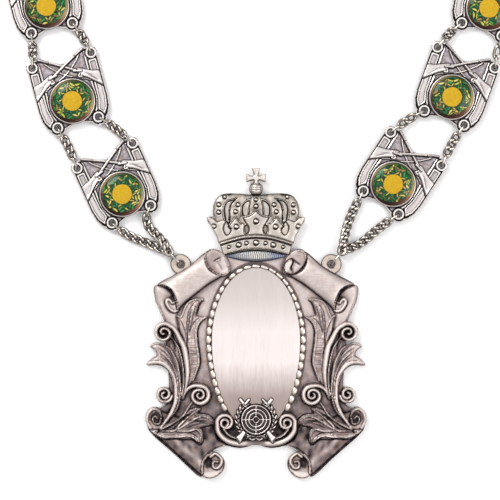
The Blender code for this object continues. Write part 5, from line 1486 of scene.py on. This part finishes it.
def enamel_masks(x, y, seed):
    """Where the disc is gold, leaf and black line, and each leaf's tone, from its own flat coordinates.

    A leaf is as wide as w (1 - (s / half length)^2)^0.7 at s along it, and is bent a little.
    """
    picks = np.random.default_rng(seed)
    r, turn = np.hypot(x, y), np.arctan2(y, x)
    teeth = 3.75 + 0.10 * np.sin(turn * 9 + seed) * np.sin(turn * 14)
    gold = clipped((teeth - r) / 0.12 + 0.5)
    ink = clipped(1 - np.abs(r - teeth - 0.15) / 0.25)
    leaf, tone = np.zeros_like(r), np.zeros_like(r)
    for ring, count, half, wide, lean, tones in LEAF_ROWS:
        for k in range(count):
            at = math.tau * (k + 0.35 * picks.uniform(-1, 1)) / count
            radius = ring + 0.2 * picks.uniform(-1, 1)
            tilt = at + math.pi / 2 + (lean if k % 2 else -lean) + 0.25 * picks.uniform(-1, 1)
            cx, cy = radius * math.cos(at), radius * math.sin(at)
            along = (x - cx) * math.cos(tilt) + (y - cy) * math.sin(tilt)
            across = -(x - cx) * math.sin(tilt) + (y - cy) * math.cos(tilt) + 0.16 * along ** 2
            width = wide * clipped(1 - (along / half) ** 2) ** 0.7
            inside = clipped((width - np.abs(across)) / 0.1 + 0.5) * (np.abs(along) < half)
            line = clipped(1 - np.abs(np.abs(across) - width - 0.12) / 0.26) * (np.abs(along) < half + 0.1)
            ink = np.maximum(ink * (1 - inside), 0.97 * line)
            leaf = np.maximum(leaf * (1 - line), inside)
            tone = np.where(inside > 0.3, picks.choice(tones), tone)
    return {"gold": gold, "leaf": leaf, "ink": ink * (1 - gold), "tone": tone}


DOME_RADIUS = 7.9
DOME_WALL = [(0, 2.6), (8.62, 2.6), (8.62, 4.1), (8.3, 3.6), (8.0, 3.3)]


def enamel(name, place, seed):
    """A domed disc in a lacquered wall: height 3.3 + 1.4 (sqrt(1 - 0.92 (r/R)^2) - 0.28) / 0.72."""
    radius = np.append(np.linspace(DOME_RADIUS, 3.3, 38), np.linspace(3.0, 0.2, 8))
    height = 3.3 + 1.4 * (np.sqrt(1 - 0.92 * (radius / DOME_RADIUS) ** 2) - 0.28) / 0.72
    profile = DOME_WALL + list(zip(radius, height)) + [(0, 4.7)]
    points, faces = lathe(profile, 176)
    away = np.hypot(points[:, 0], points[:, 1])
    masks = enamel_masks(points[:, 0] * 0.96, points[:, 1] * 0.96, seed)
    points = placed(points, place)
    centre = place(0.0, 0.0)
    # painted light and shade: the wall's colour follows which way it faces, and on the lower side its dark
    # band reaches further into the enamel
    right, above = points[:, 0] - centre[0], points[:, 1] - centre[1]
    facing = (right * 0.45 + above * 0.9) / np.maximum(away, 0.1)
    low_side = (0.3 * right - 0.95 * above) / np.maximum(away, 0.1)
    masks["wall"] = clipped((away - 7.75 + 0.75 * clipped(low_side) ** 1.5) / 0.25)
    masks["turn"] = clipped(0.5 + 0.5 * facing)
    piece(f"{name}_dome", points, faces, ENAMEL, name, masks, 60)


def plate_frame(centre, lean):
    """Turns a plate's own coordinates into the model's. Lean is in degrees, positive to the right."""
    cos, sin = math.cos(-math.radians(lean)), math.sin(-math.radians(lean))

    def place(x, y):
        """The plate's flat coordinates, turned by the lean and moved to its centre."""
        return centre[0] + x * cos - y * sin, centre[1] + x * sin + y * cos
    return place


BEZEL = [
    (7.9, 1.15), (9.1, 1.15), (9.12, 3.3), (9.0, 3.62), (8.8, 3.75), (8.62, 3.7), (8.5, 3.5), (8.2, 3.25),
    (7.92, 3.1), (7.9, 2.9),
]


def link_plate(name, relief, place):
    """A plate and its setting's wall."""
    points, faces, values = relief.mesh(back=1.1, reach=0.5, gain=0.12, place=place)
    ring, ring_faces = lathe(BEZEL, 96)
    away = np.hypot(ring[:, 0], ring[:, 1])
    ring = placed(ring, place)
    centre = place(0.0, 0.0)
    # painted light and shade: the setting's inner wall darkens towards the bottom of the picture and a
    # little towards the left
    tone = 0.66 - 0.30 * (ring[:, 1] - centre[1]) / away - 0.05 * (ring[:, 0] - centre[0]) / away
    shade = np.where(away < 8.55, tone, np.where(away > 9.05, 0.6, 0.04))
    points, faces = joined([(points, faces), (ring, ring_faces)])
    values = np.concatenate([values, clipped(shade)])
    piece(f"{name}_cast", points, faces, PLATE_CAST, name, {"patina_and_shade": values}, 50,
          "round holes")


# Chain

WIRE, LINK_HALF_WIDTH, PITCH, TWIST = 1.3, 1.32, 3.05, math.radians(54)
TOUCH = 1.15  # from one wire's middle to the next where two links touch
LINK_IN_RING, BACK_START = 1.02, 1.65  # how far the first link reaches back into its ring
WIRE_SIDES = 12
RING_LENGTH, RING_HEIGHT, RING_WIRE, RING_LEVEL = 5.7, 4.0, 0.8, 1.7
LUG_RING_LENGTH, LUG_RING_HEIGHT, LUG_RING_WIRE, LUG_RING_LEVEL = 8.3, 7.7, 0.9, 2.1
LYING_LEVEL, RING_LINK_LEVEL, BACK_LEVEL = 1.344, 2.0, 1.6
RISE_LENGTH = 3.4
HOOK_REACH = 0.6
HOOK_LEVELS = {"outer": 2.5, "inner": 5.2}
FIRST_PLATE, NEXT_PLATE = 37.15, 42.1
SIDES = {"left": -1, "right": 1}
PLATE_ROUTE = {
    "left": [(-39.8, 0.98, -24.4), (-28.2, 1.00, -15.0), (-15.3, 0.93, -14.0)],
    "right": [(37.6, 1.085, 33.2), (34.0, 0.995, 20.0), (22.6, 0.912, 18.0)],
}
STRAND_ROUTES = {
    "strand_left_outer": [(0.26, -0.06), (0.58, -0.04)],
    "strand_left_inner": [(0.21, -0.20), (0.48, -0.17), (0.70, -0.04)],
    "strand_right_outer": [(0.39, 0.02), (0.72, 0.06)],
    "strand_right_inner": [(0.40, -0.05), (0.70, -0.045)],
}
BACK_ROUTES = {
    "outer": [(-110, 185), (-116, 232), (-103, 283), (-70, 321), (0, 340), (70, 321), (104, 283), (118, 232),
              (117, 185)],
    "inner": [(-88, 188), (-94, 230), (-82, 272), (-56, 301), (0, 317), (56, 301), (83, 272), (96, 230),
              (95, 188)],
}


def curb_links(heads, tails, hooked, points, sides):
    """Twisted links between heads and tails: x = a cos^0.8, y = b sin^0.8, turned by the twist x / a."""
    half = np.linalg.norm(tails - heads, axis=1)[:, None] / 2
    along = (tails - heads) / (2 * half)
    across = unit(np.stack([-along[:, 1], along[:, 0], 0 * along[:, 0]], axis=1))
    up = np.cross(along, across)
    angle = (np.arange(points) + 0.5) * math.tau / points
    cos, sin = np.cos(angle), np.sin(angle)
    x = half * np.sign(cos) * np.abs(cos) ** 0.8
    y = LINK_HALF_WIDTH * np.sign(sin) * np.abs(sin) ** 0.8
    share = np.clip(x / half, -1, np.where(hooked, 0.0, 1.0)[:, None])
    turn = (TWIST * share)[..., None]
    flat = across[:, None] * np.cos(turn) + up[:, None] * np.sin(turn)
    centres = (heads + tails)[:, None] / 2 + along[:, None] * x[..., None] + flat * y[None, :, None]
    sideways = up[:, None] * np.cos(turn) - across[:, None] * np.sin(turn)
    return tubes(centres, sideways, WIRE / 2, sides)


def wire_painted_shade(points, sides):
    """Painted light and shade for tubes: bright on top, darker the further a spot lies down the side of its
    wire.
    """
    loops = points.reshape(-1, sides, 3)
    up = unit(loops - loops.mean(axis=1, keepdims=True))[..., 2]
    return np.clip(0.95 - 1.1 * clipped(up) ** 1.4, 0.04, 1).ravel()


def ring_half(height, wire, level):
    """Half the width of an upright ring's round end at a level above the floor."""
    return math.sqrt(max(((height - wire) / 2) ** 2 - (level - height / 2) ** 2, 0.0))


def upright_ring(hole, way, length, height, wire, level):
    """A ring on edge whose wire passes through the hole at a level and runs out along the way.

    Its middle line is two half circles joined by straights, each straight on the way.
    """
    way = unit(np.array([way[0], way[1], 0.0]))
    up = np.array([0.0, 0.0, 1.0])
    tall, straight = (height - wire) / 2, (length - height) / 2
    middle = np.array([hole[0], hole[1], height / 2]) + way * (straight + ring_half(height, wire, level))
    angle = (np.arange(32) + 0.5) * math.tau / 32
    x = tall * np.cos(angle) + np.copysign(straight, np.cos(angle))
    centres = middle + x[:, None] * way + (tall * np.sin(angle))[:, None] * up
    sideways = np.broadcast_to(np.cross(way, up), centres.shape)
    return tubes(centres[None], sideways[None], wire / 2, WIRE_SIDES)


def small_ring(hole, way):
    """The jump ring in a plate's hole."""
    return upright_ring(hole, way, RING_LENGTH, RING_HEIGHT, RING_WIRE, RING_LEVEL)


def chain_piece(name, part, shells, sides=WIRE_SIDES, shade_scale=1.0, sharp=70):
    """One piece of bright chain from shells of round wire, with painted shade down the sides of its wires.
    """
    points, faces = joined(shells)
    patina_and_shade = shade_scale * wire_painted_shade(points, sides)
    piece(name, points, faces, CHAIN_METAL, part, {"patina_and_shade": patina_and_shade}, sharp)


def strand(name, start, end, middles, hook_level=None):
    """Curb chain from a plate's hole to another hole, or to the wire of a lug's ring at the hook level.

    The links lie flat, and the first and last two or so rise to the rings.
    """
    hooked = hook_level is not None
    a, b = np.array(start), np.array(end)
    side = np.array([-(b - a)[1], (b - a)[0]])
    rows = [a] + [a + (b - a) * share + side * off for share, off in middles] + [b]
    if hooked:
        rows.append(b + unit(b - rows[-2]) * 1.2)
    route = smooth(rows, 0.1)
    total = length_of(route)
    reach = RING_LENGTH - RING_WIRE
    first = reach - LINK_IN_RING
    last = 0.0 if hooked else first
    span = total - first - last - TOUCH
    count = max(1, round(span / PITCH))
    pitch = span / count
    end_level = hook_level if hooked else RING_LINK_LEVEL

    def spot(distance):
        """The wire's middle at a distance along the route."""
        from_start = (distance - first) / RISE_LENGTH - 1.0
        from_end = (total - distance - last) / RISE_LENGTH - 1.4
        starting = (RING_LINK_LEVEL - LYING_LEVEL) * clipped(1 - from_start / 2.0)
        ending = (end_level - LYING_LEVEL) * clipped(1 - from_end / 2.4)
        flat = rows_at(route, clipped(distance / total) * (len(route) - 1))
        return np.column_stack([flat, LYING_LEVEL + np.maximum(starting, ending)])

    head = first + pitch * np.arange(count)
    at_hook = hooked & (np.arange(count) == count - 1)
    shells = [curb_links(spot(head), spot(head + pitch + TOUCH), at_hook, 28, WIRE_SIDES)]
    shells.append(small_ring(start, spot(np.array([reach]))[0][:2] - a))
    if not hooked:
        shells.append(small_ring(end, spot(np.array([total - reach]))[0][:2] - b))
    chain_piece(f"{name}_links", name, shells)


def hole_of(place, side, row, word):
    """A plate's hole in the model. The row is top or bottom, and the word is outer or inner."""
    x, y = HOLES[row]
    return place((side if word == "outer" else -side) * x, y)


def plates(word, side, relief):
    """Three plates with their enamel, each set out from the one before. Gives back their frames."""
    centre, places = np.array([side * LUG[0], LUG[1]]), []
    for number, (bearing, share, lean) in enumerate(PLATE_ROUTE[word], 1):
        angle = math.radians(bearing)
        way = np.array([math.sin(angle), math.cos(angle)])
        centre = centre + way * (NEXT_PLATE if places else FIRST_PLATE) * share
        places.append(plate_frame(centre, lean))
        link_plate(f"link_plate_{word}_{number}", relief, places[-1])
        enamel(f"enamel_{word}_{number}", places[-1], 20 + number + 5 * side)
    return places


def side_chains(word, side, places):
    """The lug's ring, its two strands and the strands between the plates of one side."""
    lug = np.array([side * LUG[0], LUG[1]])
    starts = {line: hole_of(places[0], side, "bottom", line) for line in HOOK_LEVELS}
    way = unit(sum(unit(np.array(start) - lug) for start in starts.values()))
    ring = upright_ring(lug, way, LUG_RING_LENGTH, LUG_RING_HEIGHT, LUG_RING_WIRE, LUG_RING_LEVEL)
    chain_piece(f"lug_ring_{word}_wire", f"lug_ring_{word}", [ring])
    for line, level in HOOK_LEVELS.items():
        name = f"strand_{word}_{line}"
        in_lug = ring_half(LUG_RING_HEIGHT, LUG_RING_WIRE, LUG_RING_LEVEL)
        reach = HOOK_REACH + in_lug + ring_half(LUG_RING_HEIGHT, LUG_RING_WIRE, level)
        strand(name, starts[line], lug + way * reach, STRAND_ROUTES[name], level)
    for number in (1, 2):
        for line in HOOK_LEVELS:
            start = hole_of(places[number - 1], side, "top", line)
            end = hole_of(places[number], side, "bottom", line)
            strand(f"strand_{word}_{number}{number + 1}_{line}", start, end, [(0.5, 0.03 * side)])


def back_chain(line, last):
    """The hidden stretch round the neck with its two jump rings, from one third plate to the other."""
    route = [np.array(row, float) for row in BACK_ROUTES[line]]
    ends = []
    for word, toward in (("left", 0), ("right", -1)):
        at = np.array(hole_of(last[word], SIDES[word], "top", line))
        way = unit(route[toward] - at)
        chain_piece(f"back_ring_{word}_{line}_wire", f"back_ring_{word}_{line}", [small_ring(at, way)])
        ends.append(at + way * (RING_LENGTH - BACK_START))
    path = smooth([ends[0]] + route + [ends[1]], 0.2)
    total = length_of(path)
    count = round((total - TOUCH) / PITCH)
    pitch = (total - TOUCH) / count

    def spot(distance):
        """The wire's middle at a distance along the path."""
        flat = rows_at(path, clipped(distance / total) * (len(path) - 1))
        return np.column_stack([flat, np.full(len(flat), BACK_LEVEL)])

    head = pitch * np.arange(count)
    links = curb_links(spot(head), spot(head + pitch + TOUCH), np.zeros(count, bool), 12, 5)
    chain_piece(f"back_chain_{line}_links", f"back_chain_{line}", [links], 5, 0.8, 80)


def necklace():
    """The six plates with their enamel, the rings and all the chain."""
    relief = plate_relief()
    last = {}
    for word, side in SIDES.items():
        places = plates(word, side, relief)
        side_chains(word, side, places)
        last[word] = places[-1]
    for line in HOOK_LEVELS:
        back_chain(line, last)


# Surroundings

FLOOR_HALF, FLOOR_LEVEL = 1.5, -0.0004
LAMPS = [("key", (-0.55, 0.75, 0.85), 9.6), ("fill", (0.75, -0.1, 0.9), 4.8)]
LAMP_SIZE, LAMP_AIM = 0.7, (0, 0.04, 0)


def paper_floor():
    """A pale floor just below the chain."""
    mesh = bpy.data.meshes.new("floor")
    corners = [(x * FLOOR_HALF, y * FLOOR_HALF, FLOOR_LEVEL)
               for x, y in ((-1, -1), (1, -1), (1, 1), (-1, 1))]
    mesh.from_pydata(corners, [], [(0, 1, 2, 3)])
    floor = bpy.data.objects.new("floor", mesh)
    bpy.context.scene.collection.objects.link(floor)
    made, tree, shader = new_material("floor_paper")
    grain = spread(tree, noise(tree, 60, 2), 0.3, 0.7, 0.93, 0.95)
    link(tree, shader, {"Base Color": grey(tree, grain), "Roughness": 0.9, "Specular IOR Level": 0.0})
    mesh.materials.append(made)


def studio_light():
    """A soft sky that is brightest overhead, and two large soft lamps."""
    world = bpy.data.worlds.new("studio")
    world.use_nodes = True
    bpy.context.scene.world = world
    tree = world.node_tree
    way_up = node(tree, "ShaderNodeTexCoord").outputs["Generated"]
    height = node(tree, "ShaderNodeSeparateXYZ", {0: way_up}).outputs[2]
    sky = ramp(tree, height, (0.0, 0.42, 0.40, 0.40), (0.30, 0.30, 0.28, 0.28), (0.62, 0.50, 0.48, 0.48),
               (0.86, 1.0, 0.99, 0.99), (1.0, 1.1, 1.1, 1.1))
    link(tree, tree.nodes["Background"], {"Color": sky, "Strength": 1.15})
    for name, place, power in LAMPS:
        data = bpy.data.lights.new(name, "AREA")
        data.shape = "DISK"
        data.size = LAMP_SIZE
        data.energy = power
        lamp = bpy.data.objects.new(name, data)
        lamp.location = place
        way = np.array(place) - np.array(LAMP_AIM)
        lamp.rotation_euler = (math.acos(way[2] / np.linalg.norm(way)), 0, math.atan2(way[0], -way[1]))
        bpy.context.scene.collection.objects.link(lamp)
    bpy.context.scene.view_settings.view_transform = "Standard"


pendant()
oval_plate()
bead_border()
emblem()
crown()
lens()
necklace()
paper_floor()
studio_light()
